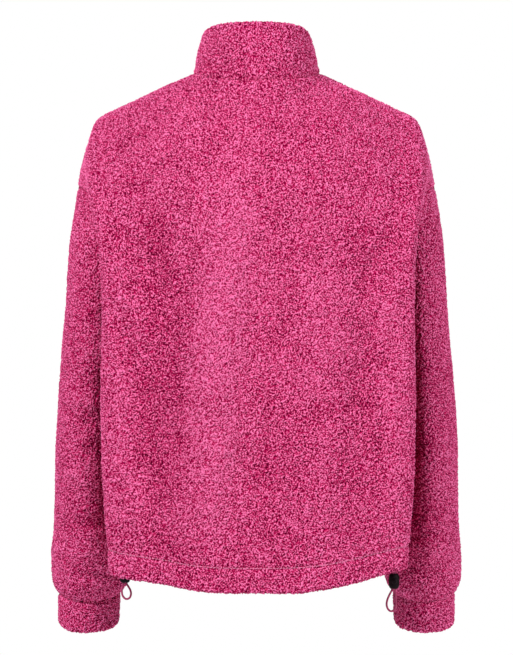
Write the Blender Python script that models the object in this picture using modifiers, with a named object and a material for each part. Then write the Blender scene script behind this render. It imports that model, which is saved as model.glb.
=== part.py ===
"""Sherpa jacket: a full-zip jacket of thick teddy fleece, hollow, in the form it has when it is worn.

Metres, +Z up. +Y is the way the wearer faces, so the zip is at +Y and the back at -Y. +X is the wearer's right.
The origin is the middle of the seam between back and collar, where the shoulders carry the jacket.

Each panel is cut as a maker cuts it: back, two fronts, two dropped-shoulder sleeves, two cuffs and a stand collar.
A panel is a loft: a few sections, each worked out from a row of a table, with a smooth skin through them, the
large folds pushed into that skin, and a wall behind it. All sizes in the tables are millimetres.
"""

import math
from collections import namedtuple

import bmesh
import bpy
from mathutils import Matrix, Vector

MM = 0.001

# Cloth
WALL = 5.0  # fleece with its pile
HEM_WALL = 6.5  # the hem is turned up once, over the drawcord
HEM_DEPTH = 30.0  # from the hem's edge to its stitching
STITCH_SINK = 2.2  # how far a line of stitching pulls the pile in
SEAM_GAP = 0.3

# Body
BACK_LENGTH = 623.0  # nape seam to hem
UNDERARM_Z = -235.0
SHOULDER_TIP = (224.0, 15.0, -127.0)  # where the dropped shoulder seam meets the sleeve
SHOULDER_POINT = (200.0, 12.0, -40.0)  # corner of the shoulder seam, before it is rounded
SHOULDER_ROUND = 26.0
SHOULDER_KNEE = (219.0, 14.5, -90.0)  # the seam's own bend between that corner and the tip
NECK_HALF_WIDTH = 80.0
NECK_BACK_Y = -72.0
NECK_FRONT_Y = 78.0
NECK_SIDE_Z = 14.5
NECK_FRONT_Z = -52.0
COLLAR_BACK_HEIGHT = 71.0
COLLAR_FRONT_HEIGHT = 60.0
COLLAR_LEAN = 9.0  # how much narrower, on each side, the collar's top is than its foot
COLLAR_BULGE = 2.0  # how far its middle swells out
COLLAR_FLARE = 4.0  # how far its foot turns out over the shoulders
COLLAR_FLARE_SHARE = 0.2  # and the share of its height that this takes
COLLAR_DROP_POWER = 2.1  # how late, from nape to front, its top edge drops
COLLAR_EDGE_ROUND = 1.8
COLLAR_ROWS = (0.0, 0.1, 0.25, 0.5, 0.75, 0.93, 1.0)  # shares of its height

# Cuffs
CUFF_HEIGHT = 43.0
CUFF_TILT = math.radians(14.0)  # the forearm hangs a little forward
CUFF_SPREAD = 0.03  # and outward
CuffRow = namedtuple("CuffRow", "down grow rounding")
CUFF_ROWS = (
    CuffRow(0.0, -0.4, 1.2),
    CuffRow(5.0, 0.6, 0.0),
    CuffRow(CUFF_HEIGHT / 2, 0.2, 0.0),
    CuffRow(CUFF_HEIGHT - 5.0, -0.4, 0.0),
    CuffRow(CUFF_HEIGHT, -2.2, 1.2),
)

# Zip
ZIP_HALF_GAP = 7.0  # centre front to the edge of each front
TEETH_HALF_WIDTH = 3.0
TEETH_THICKNESS = 2.6
TAPE_THICKNESS = 0.9
TAPE_UNDER = 9.0  # how far the tape goes in behind the cloth
ZIP_BOX_ROWS = 1  # rows of cloth that the box at the foot of the zip takes up
ZIP_TOP_ROWS = 1  # and those above the slider
ZIP_BOX_HEIGHT = 6.0
ZIP_BOX_STANDS = 0.5  # how far the box stands out past the teeth, before and behind

MERGE = 0.00001
SHARP_ANGLE = math.radians(50.0)  # an edge sharper than this stays an edge in the shading

# Cord
CORD_DIAMETER = 2.5
LOCK_HEIGHT = 18.5
LOCK_BORE = 6.6
LOCK_STEPS = 16

# Columns of each half panel, counted from the centre: to the neck column, to the corner, round it, to the side
COLUMNS_TO_NECK = 6
COLUMNS_TO_CORNER = 4
COLUMNS_ROUND = 5
COLUMNS_TO_SIDE = 4
ROWS_BODY = 9
ROWS_ARMHOLE = 10
ROW_AT_SEAM = 7.0  # distance of the rows beside the hem's edge and its stitching
COLUMNS_SLEEVE = 2 * ROWS_ARMHOLE

# The column that leads up to the side of the neck, at the sections below the arm, and how near the front or
# the back the pressed-in side begins, as a share of the corner's y
NECK_COLUMN_X = {"back": 82.0, "front": 80.0}
PINCH_SHARE = {"back": 0.45, "front": 0.55}

# Lower sections. rise: height above the hem at the centre back. The corner is where the flat back turns in
# behind the arm, the pinch is where the arm presses the side in, and the chest is the front's own corner.
Section = namedtuple(
    "Section", "rise back_y corner_x corner_y corner_r pinch_x side_x side_y chest_x chest_y chest_r front_y"
)
SECTIONS = (
    Section(0, -116, 190, -88, 10, 154, 150, 10, 150, 98, 38, 108),
    Section(HEM_DEPTH, -117, 192, -90, 10, 153, 149, 10, 149, 100, 38, 110),
    Section(110, -120, 199, -94, 10, 149, 144, 11, 145, 106, 38, 117),
    Section(210, -123, 202, -97, 10, 147, 142, 12, 142, 110, 38, 123),
    Section(310, -124, 200, -99, 10, 149, 145, 14, 144, 112, 38, 127),
    Section(BACK_LENGTH + UNDERARM_Z, -123, 200, -98, 10, 155, 153, 18, 150, 110, 35, 128),
)

# Heights of the hem and of the underarm section, under each key column
Level = namedtuple("Level", "centre neck corner side")
HEM_BACK = Level(-BACK_LENGTH, -619.0, -594.0, -597.0)
HEM_FRONT = Level(-609.0, -609.0, -604.0, -597.0)

# How the left half differs: its width below the arm, and the hem's corner behind the arm
Narrowing = namedtuple("Narrowing", "start_z full_z share")
LEFT_NARROW_BELOW = Narrowing(-150.0, -270.0, 0.025)
Drop = namedtuple("Drop", "from_x over_x from_y over_y from_z over_z depth")
LEFT_DROP = Drop(110.0, 60.0, -62.0, 22.0, -530.0, 60.0, 8.0)

# Upper sections, from the underarm to the shoulder. end is the point on the armhole.
Upper = namedtuple("Upper", "centre neck corner corner_r pinch end")
ARMHOLE_BACK = ((170, -30, -196), (194, -43, -150), (215, -21, -132), (221, -3, -128))
ARMHOLE_FRONT = ((170, 64, -200), (196, 82, -155), (215, 57, -133), (221, 35, -128))
UPPER_BACK = (
    Upper((0, -123, -185), (82, -121, -183), (206, -90, -190), 12, (172, -54, -195), ARMHOLE_BACK[0]),
    Upper((0, -118, -128), (82, -114, -124), (209, -66, -134), 13, (202, -52, -145), ARMHOLE_BACK[1]),
    Upper((0, -103, -68), (92, -84, -55), (208, -32, -82), 26, (213, -27, -108), ARMHOLE_BACK[2]),
    Upper((0, -87, -30), (104, -36, -14), (202, -9, -50), 28, (216, -5, -96), ARMHOLE_BACK[3]),
)
UPPER_FRONT = (
    Upper((0, 128, -188), (80, 124, -188), (164, 106, -192), 30, (172, 80, -198), ARMHOLE_FRONT[0]),
    Upper((0, 123, -142), (80, 116, -136), (190, 98, -146), 20, (196, 88, -151), ARMHOLE_FRONT[1]),
    Upper((0, 112, -104), (94, 88, -70), (207, 56, -86), 26, (213, 59, -112), ARMHOLE_FRONT[2]),
    Upper((0, 97, -78), (105, 41, -18), (202, 33, -52), 28, (216, 37, -98), ARMHOLE_FRONT[3]),
)
UPPER_RISE = (50.0, 110.0, 175.0, 222.0, 262.0)  # run of the skin above the underarm section, up to each

# Sleeve rings below the armhole. slope_x and slope_y tip the ring over.
Ring = namedtuple("Ring", "z centre_x centre_y half_width half_depth slope_x slope_y")
SLEEVE_RINGS = (
    Ring(-236, 196, 19, 38.5, 58, 0.80, 0.00),
    Ring(-290, 198, 22, 41.0, 62, 0.32, 0.02),
    Ring(-350, 201, 27, 44.5, 64, 0.08, 0.05),
    Ring(-420, 204.3, 36, 47.3, 64, 0.00, 0.10),
    Ring(-500, 207.3, 52, 47.8, 61, 0.00, 0.18),
    Ring(-560, 210.5, 67, 47.5, 57, 0.00, 0.22),
    Ring(-600, 213, 77, 48.5, 53, 0.00, 0.25),
    Ring(-626, 214, 83, 47.0, 47, 0.00, 0.25),
    Ring(-642, 215, 87, 38.5, 38, 0.00, 0.25),
)
ROWS_SLEEVE = 17

# Large folds: a soft ridge (height > 0) or trough along a line from top to foot, on the panel it lies on
Fold = namedtuple("Fold", "panel top_x top_z foot_x foot_z width height")
FOLDS = (
    Fold("back", -18, -100, -78, -520, 34, 6.0),
    Fold("back", -112, -160, -134, -260, 20, -5.0),
    Fold("back", -124, -300, -122, -560, 20, -6.0),
    Fold("back", 60, -180, 100, -420, 36, 4.0),
    Fold("back", 128, -250, 120, -540, 22, -4.5),
    Fold("front", -70, -150, -60, -470, 34, 5.0),
    Fold("front", 72, -160, 50, -500, 34, 5.0),
    Fold("front", -112, -260, -104, -560, 20, -4.0),
    Fold("front", 108, -240, 112, -560, 20, -4.5),
)

FOLD_FREE_Y = 15.0  # the side seams lie here, and no fold crosses them
FOLD_FREE_REACH = 30.0
FOLD_END = 0.08  # share of a fold's length over which its ends no longer fall
FOLD_FADE = 60.0  # folds fade out over this much of the skin below the shoulder seam

# Sleeve folds go part of the way round the arm. angle: 0 outside, 90 back, 180 inside, 270 front.
Crease = namedtuple("Crease", "side z angle reach width height")
CREASES = (
    Crease(-1, -372, 120, 80, 15, -4.0),
    Crease(-1, -418, 80, 70, 14, -3.0),
    Crease(-1, -548, 100, 100, 12, -3.5),
    Crease(-1, -586, 60, 110, 12, 2.5),
    Crease(-1, -604, 180, 90, 22, 7.0),
    Crease(1, -360, 100, 80, 15, -3.5),
    Crease(1, -430, 60, 70, 14, -3.0),
    Crease(1, -540, 90, 110, 13, -3.5),
    Crease(1, -584, 80, 100, 12, 2.5),
)

# The drawcord comes out of the hem on each side, goes down through its lock, round a loop and back up into the
# hem. Each route is across and below the hole it comes out of, seen from behind.
CORD_EXIT_Y = {"left": -57.0, "right": -62.0}
CORD_ROUTES = {
    "left": (
        (1.5, -1.0), (1.5, -7.0), (1.5, -14.0), (1.7, -20.5), (4.2, -25.0), (6.6, -29.5), (7.3, -34.5),
        (5.2, -39.0), (1.0, -40.0), (-2.6, -36.6), (-3.9, -31.5), (-3.4, -26.5), (-1.7, -21.0),
        (-1.5, -14.0), (-1.5, -7.0), (-1.5, -1.0),
    ),
    "right": (
        (-1.5, -1.0), (-1.5, -8.0), (-1.5, -15.0), (-1.5, -22.0), (-2.4, -28.4), (-5.6, -34.6), (-8.2, -41.0),
        (-9.0, -47.0), (-7.0, -52.6), (-3.0, -54.8), (0.8, -52.0), (2.3, -46.0), (2.0, -38.0), (1.6, -30.0),
        (1.5, -22.0), (1.5, -15.0), (1.5, -8.0), (1.5, -1.0),
    ),
}
CORD_STEPS = 3  # points of the tube to each point of its route
LOCK_BELOW_HEM = {"left": 1.5, "right": 8.5}  # hem to the top of the cord lock
LOCK_PROFILE = ((0.0, 4.6), (0.06, 5.6), (0.22, 6.5), (0.5, 6.75), (0.78, 6.5), (0.94, 5.6), (1.0, 4.6))
BUTTON_DIAMETER = 6.0
BUTTON_STANDS = 2.2
BUTTON_TAPER = 0.5  # how much smaller its face's radius is than its foot's

# Zip slider and pull tab, across, out and along from the end of the teeth
SLIDER_WIDTH = 6.4
SLIDER_LOW = -9.0
SLIDER_HIGH = 3.6
SLIDER_PLATE = 1.4
SLIDER_WEB = 2.6  # width of the wedge and of the arch that holds the tab
WEDGE_LOW = 0.5
ARCH_LOW = -7.6
ARCH_HIGH = 2.4
ARCH_LEG = 1.6
ARCH_INSIDE = 2.6
ARCH_TOP = 1.4
ARCH_CORNER = 0.8
TAB_CORNER = 1.4
TAB_AXIS_DOWN = -4.9
TAB_THICKNESS = 1.4
TAB_WIDTH = 6.6
TAB_WINDOW = 3.6
TAB_WINDOW_REACH = 8.2
TAB_REACH = 27.0

COLOURS = {
    "fleece": (0.56, 0.06, 0.18),
    "tape": (0.42, 0.03, 0.11),
    "metal": (0.55, 0.55, 0.56),
    "plastic": (0.012, 0.010, 0.012),
    "cord": (0.30, 0.02, 0.08),
}


def vec(point):
    """A point of a table, in metres."""
    return Vector(point) * MM


def clamp(value):
    return min(1.0, max(0.0, value))


def hermite(start, end, start_slope, end_slope, share):
    """A point part of the way along a smooth curve with the given slopes at its ends."""
    s2 = share * share
    s3 = s2 * share
    return (
        start * (2 * s3 - 3 * s2 + 1)
        + start_slope * (s3 - 2 * s2 + share)
        + end * (3 * s2 - 2 * s3)
        + end_slope * (s3 - s2)
    )


def smooth(stations, values, at):
    """The value at a station, on a smooth curve through all the values."""
    last = len(stations) - 1
    k = 0
    while k < last - 1 and at > stations[k + 1]:
        k += 1

    def slope(i):
        low = max(i - 1, 0)
        high = min(i + 1, last)
        return (values[high] - values[low]) * (1 / (stations[high] - stations[low]))

    run = stations[k + 1] - stations[k]
    share = (at - stations[k]) / run
    return hermite(values[k], values[k + 1], slope(k) * run, slope(k + 1) * run, share)


def arc_corner(corner, before, after, radius, steps):
    """Points round a corner between two straight runs, steps + 1 of them."""
    to_before = (before - corner).normalized()
    to_after = (after - corner).normalized()
    half_angle = to_before.angle(to_after) / 2
    reach = radius / math.tan(half_angle)
    middle = corner + (to_before + to_after).normalized() * (radius / math.sin(half_angle))
    first = corner + to_before * reach - middle
    final = corner + to_after * reach - middle
    turn = first.angle(final)
    points = []
    for k in range(steps + 1):
        share = k / steps
        points.append(
            middle + (first * math.sin((1 - share) * turn) + final * math.sin(share * turn)) / math.sin(turn)
        )
    return points


def half_row(centre, neck, corner, radius, pinch, end):
    """Points of one section of half a panel, from its centre to its side."""
    bend = arc_corner(corner, neck, pinch, radius, COLUMNS_ROUND)
    points = []
    centre_slope = Vector((neck.x - centre.x, 0, 0))
    for k in range(COLUMNS_TO_NECK):
        points.append(hermite(centre, neck, centre_slope, (bend[0] - centre) / 2, k / COLUMNS_TO_NECK))
    into_bend = (corner - neck).normalized() * (bend[0] - neck).length
    for k in range(COLUMNS_TO_CORNER):
        points.append(hermite(neck, bend[0], (bend[0] - centre) / 2, into_bend, k / COLUMNS_TO_CORNER))
    points.extend(bend[:-1])
    for k in range(COLUMNS_TO_SIDE + 1):
        share = k / COLUMNS_TO_SIDE
        points.append(
            bend[-1] * (1 - share) ** 2 + pinch * 2 * share * (1 - share) + end * share**2
        )
    return points


def neckline(turn):
    """A point of the neck seam. turn: 0 at the nape, 1 at the centre front."""
    angle = turn * math.pi
    depth = NECK_BACK_Y if turn < 0.5 else NECK_FRONT_Y
    y = depth * abs(math.cos(angle))
    drop = 0.0 if turn < 0.5 else NECK_FRONT_Z
    z = drop + (NECK_SIDE_Z - drop) * math.sin(angle) ** 3
    return vec((NECK_HALF_WIDTH * math.sin(angle), y, z))


def top_row(front):
    """The top edge of half a panel: half the neck seam, then the shoulder seam."""
    points = []
    for k in range(COLUMNS_TO_NECK):
        share = k / COLUMNS_TO_NECK / 2
        points.append(neckline(1 - share if front else share))
    neck = neckline(0.5)
    knee = vec(SHOULDER_KNEE)
    bend = arc_corner(vec(SHOULDER_POINT), neck, knee, SHOULDER_ROUND * MM, COLUMNS_ROUND)
    for k in range(COLUMNS_TO_CORNER):
        points.append(neck.lerp(bend[0], k / COLUMNS_TO_CORNER))
    points.extend(bend[:-1])
    tip = vec(SHOULDER_TIP)
    for k in range(COLUMNS_TO_SIDE + 1):
        share = k / COLUMNS_TO_SIDE
        points.append(bend[-1] * (1 - share) ** 2 + knee * 2 * share * (1 - share) + tip * share**2)
    return points


def key_rows(front):
    """All sections of half a panel, hem to shoulder, with the run of the skin up to each."""
    panel = "front" if front else "back"
    hem = HEM_FRONT if front else HEM_BACK
    stations = []
    rows = []
    body = BACK_LENGTH + UNDERARM_Z
    for s in SECTIONS:
        share = s.rise / body
        centre_z, neck_z, corner_z, side_z = (low + (UNDERARM_Z - low) * share for low in hem)
        if front:
            centre = vec((0, s.front_y, centre_z))
            neck = vec((NECK_COLUMN_X[panel], s.front_y - 2, neck_z))
            corner = vec((s.chest_x, s.chest_y, corner_z))
            pinch = vec((s.side_x - 1, s.chest_y * PINCH_SHARE[panel], side_z))
            radius = s.chest_r * MM
        else:
            centre = vec((0, s.back_y, centre_z))
            neck = vec((NECK_COLUMN_X[panel], s.back_y + 2, neck_z))
            corner = vec((s.corner_x, s.corner_y, corner_z))
            pinch = vec((s.pinch_x, s.corner_y * PINCH_SHARE[panel], side_z))
            radius = s.corner_r * MM
        rows.append(half_row(centre, neck, corner, radius, pinch, vec((s.side_x, s.side_y, side_z))))
        stations.append(s.rise)
    for u, rise in zip(UPPER_FRONT if front else UPPER_BACK, UPPER_RISE):
        rows.append(
            half_row(vec(u.centre), vec(u.neck), vec(u.corner), u.corner_r * MM, vec(u.pinch), vec(u.end))
        )
        stations.append(body + rise)
    rows.append(top_row(front))
    stations.append(body + UPPER_RISE[-1])
    return stations, rows


def row_stations():
    """Where the panels' rows lie: close at the hem's stitching, even above it, one to each armhole point."""
    body = BACK_LENGTH + UNDERARM_Z
    rows = [0.0, ROW_AT_SEAM, HEM_DEPTH - ROW_AT_SEAM, HEM_DEPTH, HEM_DEPTH + ROW_AT_SEAM]
    start = rows[-1]
    rows += [start + (body - start) * (k + 1) / ROWS_BODY for k in range(ROWS_BODY)]
    rows += [body + UPPER_RISE[-1] * (k + 1) / ROWS_ARMHOLE for k in range(ROWS_ARMHOLE)]
    return rows


def half_skin(front):
    """The outer points of half a panel, on the right: rows of points, hem first."""
    stations, rows = key_rows(front)
    side = len(rows[0]) - 1
    underarm = len(SECTIONS) - 1
    skin = []
    for at in row_stations():
        line = [smooth(stations, [row[c] for row in rows], at) for c in range(side)]
        # The side seam ends at the underarm, and the armhole starts there.
        part = slice(0, underarm + 1) if at <= stations[underarm] else slice(underarm, None)
        line.append(smooth(stations[part], [row[side] for row in rows[part]], at))
        skin.append(line)
    return skin


def mirrored(point):
    return Vector((-point.x, point.y, point.z))


def left_of(point):
    """The left half's point for one of the right half: the jacket hangs a little narrower and lower there."""
    narrow = LEFT_NARROW_BELOW
    fade = clamp((narrow.start_z - point.z / MM) / (narrow.start_z - narrow.full_z))
    over = clamp((point.x / MM - LEFT_DROP.from_x) / LEFT_DROP.over_x)
    behind = clamp((LEFT_DROP.from_y - point.y / MM) / LEFT_DROP.over_y)
    low = clamp((LEFT_DROP.from_z - point.z / MM) / LEFT_DROP.over_z)
    drop = LEFT_DROP.depth * over * behind * low
    return Vector((-point.x * (1 - narrow.share * fade), point.y, point.z - drop * MM))


def grid_normals(grid, closed=False):
    """The outward normal at each point, for columns that run clockwise seen from above the rows' far end."""
    rows = len(grid)
    columns = len(grid[0])
    normals = []
    for r in range(rows):
        line = []
        for c in range(columns):
            if closed:
                across = grid[r][(c + 1) % columns] - grid[r][c - 1]
            else:
                across = grid[r][min(c + 1, columns - 1)] - grid[r][max(c - 1, 0)]
            along = grid[min(r + 1, rows - 1)][c] - grid[max(r - 1, 0)][c]
            line.append(across.cross(along).normalized())
        normals.append(line)
    return normals


def fold_height(panel, point):
    """How far the large folds of a panel push this point out."""
    total = 0.0
    for f in FOLDS:
        if f.panel != panel:
            continue
        top = Vector((f.top_x, f.top_z)) * MM
        foot = Vector((f.foot_x, f.foot_z)) * MM
        run = foot - top
        here = Vector((point.x, point.z)) - top
        share = here.dot(run) / run.length_squared
        near = clamp(share)
        off = (here - run * near).length / (f.width * MM)
        ends = math.sin(math.pi * min(max(near, FOLD_END), 1 - FOLD_END))
        total += f.height * MM * math.exp(-off * off) * ends
    from_side = abs(point.y / MM - FOLD_FREE_Y)
    return total * clamp((from_side - FOLD_FREE_REACH) / FOLD_FREE_REACH)


def pull_edge(grid, edge, amount):
    """Moves one edge of a grid of points in, towards the points next to it."""
    columns = range(len(grid[0]))
    rows = range(len(grid))
    if edge == "top":
        pairs = [((-1, c), (-2, c)) for c in columns]
    elif edge == "foot":
        pairs = [((0, c), (1, c)) for c in columns]
    elif edge == "first":
        pairs = [((r, 0), (r, 1)) for r in rows]
    else:
        pairs = [((r, -1), (r, -2)) for r in rows]
    for (r, c), (to_r, to_c) in pairs:
        step = (grid[to_r][to_c] - grid[r][c]).normalized() * amount * MM
        grid[r][c] = grid[r][c] + step


def offset_grid(grid, normals, depths):
    """The points behind a skin. depths: the wall's thickness at each row, in millimetres."""
    return [
        [point - normal * depth * MM for point, normal in zip(line, across)]
        for line, across, depth in zip(grid, normals, depths)
    ]


def material(name, colour, roughness, metallic=0.0):
    made = bpy.data.materials.new(name)
    made.use_nodes = True
    shader = made.node_tree.nodes["Principled BSDF"]
    shader.inputs["Base Color"].default_value = (*colour, 1.0)
    shader.inputs["Roughness"].default_value = roughness
    shader.inputs["Metallic"].default_value = metallic
    made.diffuse_color = (*colour, 1.0)
    return made


def add_object(name, mesh, finish, collection):
    thing = bpy.data.objects.new(name, mesh)
    collection.objects.link(thing)
    colour, roughness, metallic = finish
    mesh.materials.clear()
    mesh.materials.append(material(name + "_finish", COLOURS[colour], roughness, metallic))
    return thing


def wall(name, outer, inner, finish, collection, closed=False):
    """A closed wall between two grids of points that have the same rows and columns."""
    rows = len(outer)
    columns = len(outer[0])
    shape = bmesh.new()
    skins = [[[shape.verts.new(p) for p in line] for line in grid] for grid in (outer, inner)]
    last = columns if closed else columns - 1
    for side in skins:
        for r in range(rows - 1):
            for c in range(last):
                d = (c + 1) % columns
                shape.faces.new((side[r][c], side[r][d], side[r + 1][d], side[r + 1][c]))
    front, rear = skins
    for r in (0, rows - 1):
        for c in range(last):
            d = (c + 1) % columns
            shape.faces.new((front[r][c], front[r][d], rear[r][d], rear[r][c]))
    if not closed:
        for c in (0, columns - 1):
            for r in range(rows - 1):
                shape.faces.new((front[r][c], front[r + 1][c], rear[r + 1][c], rear[r][c]))
    bmesh.ops.recalc_face_normals(shape, faces=shape.faces)
    mesh = bpy.data.meshes.new(name)
    shape.to_mesh(mesh)
    shape.free()
    mesh.shade_smooth()
    mesh.set_sharp_from_angle(angle=SHARP_ANGLE)
    return add_object(name, mesh, finish, collection)


def body_wall_depths():
    """The body wall's thickness at each row: doubled cloth in the hem, one layer above it."""
    return [HEM_WALL if at < HEM_DEPTH else WALL for at in row_stations()]


def finish_body_skin(grid, normals, panel):
    """Pushes the folds and the hem's stitching into a body skin."""
    stations = row_stations()
    moved = []
    for at, line, across in zip(stations, grid, normals):
        sink = STITCH_SINK * MM if at == HEM_DEPTH else 0.0
        fade = min(1.0, (stations[-1] - at) / FOLD_FADE)
        moved.append(
            [p + n * (fold_height(panel, p) * fade - sink) for p, n in zip(line, across)]
        )
    return moved


def body_skins():
    """The outer and inner grids of the back and of the two fronts, before they are parted at their seams."""
    back_half = half_skin(front=False)
    front_half = half_skin(front=True)
    rows = range(len(back_half))
    side = len(back_half[0]) - 1
    back = [[left_of(p) for p in reversed(back_half[r][1:])] + back_half[r] for r in rows]
    right = [list(reversed(front_half[r])) for r in rows]
    left = [[left_of(p) for p in front_half[r]] for r in rows]
    edge = ZIP_HALF_GAP * MM
    for r in rows:
        right[r][-1].x = edge
        left[r][0].x = -edge
    grids = {"back": back, "front_right": right, "front_left": left}
    normals = {name: grid_normals(grid) for name, grid in grids.items()}

    def share_normal(first, second):
        middle = (normals[first[0]][first[1]][first[2]] + normals[second[0]][second[1]][second[2]]).normalized()
        normals[first[0]][first[1]][first[2]] = middle
        normals[second[0]][second[1]][second[2]] = middle

    below_armhole = len(back) - ROWS_ARMHOLE
    for r in range(below_armhole):
        share_normal(("back", r, 2 * side), ("front_right", r, 0))
        share_normal(("back", r, 0), ("front_left", r, side))
    for k in range(COLUMNS_TO_NECK, side + 1):
        share_normal(("back", -1, side + k), ("front_right", -1, side - k))
        share_normal(("back", -1, side - k), ("front_left", -1, k))
    skins = {}
    for name, grid in grids.items():
        outer = finish_body_skin(grid, normals[name], name.split("_")[0])
        skins[name] = (outer, offset_grid(outer, normals[name], body_wall_depths()))
    return skins


def armhole(skins, side):
    """The edge that a sleeve is sewn to: shoulder tip, down the back edge, underarm, up the front edge."""
    back = skins["back"][0]
    front = skins["front_right" if side > 0 else "front_left"][0]
    back_column = -1 if side > 0 else 0
    front_column = 0 if side > 0 else -1
    first = len(back) - 1 - ROWS_ARMHOLE
    down = [back[r][back_column].copy() for r in range(len(back) - 1, first - 1, -1)]
    up = [front[r][front_column].copy() for r in range(first + 1, len(back) - 1)]
    return down + up


def crease_height(side, z, angle):
    """How far a sleeve's folds push a point out."""
    total = 0.0
    for c in CREASES:
        if c.side != side:
            continue
        turn = (math.degrees(angle) - c.angle + 180) % 360 - 180
        if abs(turn) < c.reach:
            round_share = math.cos(math.radians(90 * turn / c.reach)) ** 2
            lift = (z - c.z) / c.width
            total += c.height * round_share * math.exp(-lift * lift)
    return total * MM


def ring_point(ring, side, angle, grow=0.0):
    """A point of a sleeve ring, grow millimetres outside it."""
    off_x = math.cos(angle) * (ring.half_width + grow)
    off_y = -math.sin(angle) * (ring.half_depth + grow)
    z = ring.z + ring.slope_x * off_x + ring.slope_y * off_y
    return vec((side * (ring.centre_x + off_x), ring.centre_y + off_y, z))


def sleeve_skin(skins, side):
    """The outer points of a sleeve, armhole first, tip column first and then round by the back."""
    angles = [2 * math.pi * k / COLUMNS_SLEEVE for k in range(COLUMNS_SLEEVE)]
    rings = [[ring_point(ring, side, a) for a in angles] for ring in SLEEVE_RINGS]
    edge = armhole(skins, side)
    inside = [(rings[0][k] - edge[k]) for k in range(COLUMNS_SLEEVE)]
    middle = sum(edge, Vector()) / COLUMNS_SLEEVE
    start = []
    for point, along in zip(edge, inside):
        inward = (middle - point).normalized()
        start.append(point + along.normalized() * SEAM_GAP * MM / 2 + inward * SEAM_GAP * MM)
    rings.insert(0, start)
    stations = [0.0]
    for k in range(1, len(rings)):
        steps = [(rings[k][c] - rings[k - 1][c]).length for c in range(COLUMNS_SLEEVE)]
        stations.append(stations[-1] + sum(steps) / COLUMNS_SLEEVE)
    skin = []
    for row in range(ROWS_SLEEVE + 1):
        at = stations[-1] * row / ROWS_SLEEVE
        skin.append([smooth(stations, [ring[c] for ring in rings], at) for c in range(COLUMNS_SLEEVE)])
    normals = tube_normals(skin, side)
    return [
        [p + n * crease_height(side, p.z / MM, a) for p, n, a in zip(line, across, angles)]
        for line, across in zip(skin, normals)
    ]


def tube_normals(skin, side):
    """Outward normals of a tube whose columns start outside and go round by the back, rows downward."""
    normals = grid_normals(skin, closed=True)
    return [[n * side for n in line] for line in normals]


def add_sleeve(skins, side, name, collection):
    outer = sleeve_skin(skins, side)
    inner = offset_grid(outer, tube_normals(outer, side), [WALL] * len(outer))
    for grid in (outer, inner):
        pull_edge(grid, "top", SEAM_GAP / 2)
    wall(name, outer, inner, ("fleece", 0.95, 0.0), collection, closed=True)


def add_cuff(side, name, collection):
    """A short tube of doubled cloth, on the sleeve's own last ring."""
    seam = SLEEVE_RINGS[-1]
    outer = []
    inner = []
    for down, grow, rounding in CUFF_ROWS:
        ring = seam._replace(
            z=seam.z - down * math.cos(CUFF_TILT),
            centre_y=seam.centre_y + down * math.sin(CUFF_TILT),
            centre_x=seam.centre_x + down * CUFF_SPREAD,
        )
        angles = [2 * math.pi * k / COLUMNS_SLEEVE for k in range(COLUMNS_SLEEVE)]
        outer.append([ring_point(ring, side, a, grow) for a in angles])
        inner.append([ring_point(ring, side, a, grow - WALL + rounding) for a in angles])
    for grid in (outer, inner):
        pull_edge(grid, "foot", SEAM_GAP / 2)
    wall(name, outer, inner, ("fleece", 0.95, 0.0), collection, closed=True)


def collar_skin():
    """The collar's outer points, foot first, from the left front edge round by the nape to the right."""
    half = 2 * COLUMNS_TO_NECK
    skin = []
    for share in COLLAR_ROWS:
        line = []
        for k in range(-half, half + 1):
            turn = abs(k) / half
            foot = neckline(turn)
            to_front = ((1 - math.cos(turn * math.pi)) / 2) ** COLLAR_DROP_POWER
            front_top = NECK_FRONT_Z + COLLAR_FRONT_HEIGHT
            top_z = COLLAR_BACK_HEIGHT + to_front * (front_top - COLLAR_BACK_HEIGHT)
            bulge = COLLAR_BULGE * math.sin(math.pi * share)
            over_shoulder = math.sin(turn * math.pi) ** 2
            flare = COLLAR_FLARE * over_shoulder * (1 - max(0.0, 1 - share / COLLAR_FLARE_SHARE) ** 2)
            edge = COLLAR_EDGE_ROUND if share == 1.0 else 0.0
            out = Vector((foot.x, foot.y, 0)).normalized()
            point = foot - out * (COLLAR_LEAN * share - bulge + flare + edge) * MM
            point.z = foot.z + (top_z * MM - foot.z) * share
            if abs(k) == half:
                point.x = ZIP_HALF_GAP * MM
            line.append(point if k > 0 else mirrored(point))
        skin.append(line)
    return skin


def add_collar(collection):
    """The stand collar. Returns its outer and inner points, for the zip that runs up behind its edges."""
    outer = collar_skin()
    inner = offset_grid(outer, grid_normals(outer), [WALL] * len(outer))
    lift = Vector((0, 0, SEAM_GAP * MM))
    for grid in (outer, inner):
        grid[0] = [p + lift for p in grid[0]]
    wall("collar", outer, inner, ("fleece", 0.95, 0.0), collection)
    return outer, inner


def zip_line(skins, collar, side):
    """Where one front edge of the cloth lies inside: (edge point, way to the side seam), hem to collar top."""
    front = skins["front_right" if side > 0 else "front_left"][1]
    step = -1 if side > 0 else 1
    edge_column = -1 if side > 0 else 0
    line = []
    for grid in (front, collar[1]):
        for row in grid:
            edge = row[edge_column]
            line.append((edge.copy(), (row[edge_column + step] - edge).normalized()))
    return line


def zip_profile(line):
    """The height and depth of the zip's middle along its length, and the way it faces, at each row."""
    profile = []
    for k, (edge, _) in enumerate(line):
        low = line[max(k - 1, 0)][0]
        high = line[min(k + 1, len(line) - 1)][0]
        facing = Vector((0, high.z - low.z, low.y - high.y)).normalized()
        profile.append((edge, facing))
    return profile


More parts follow.
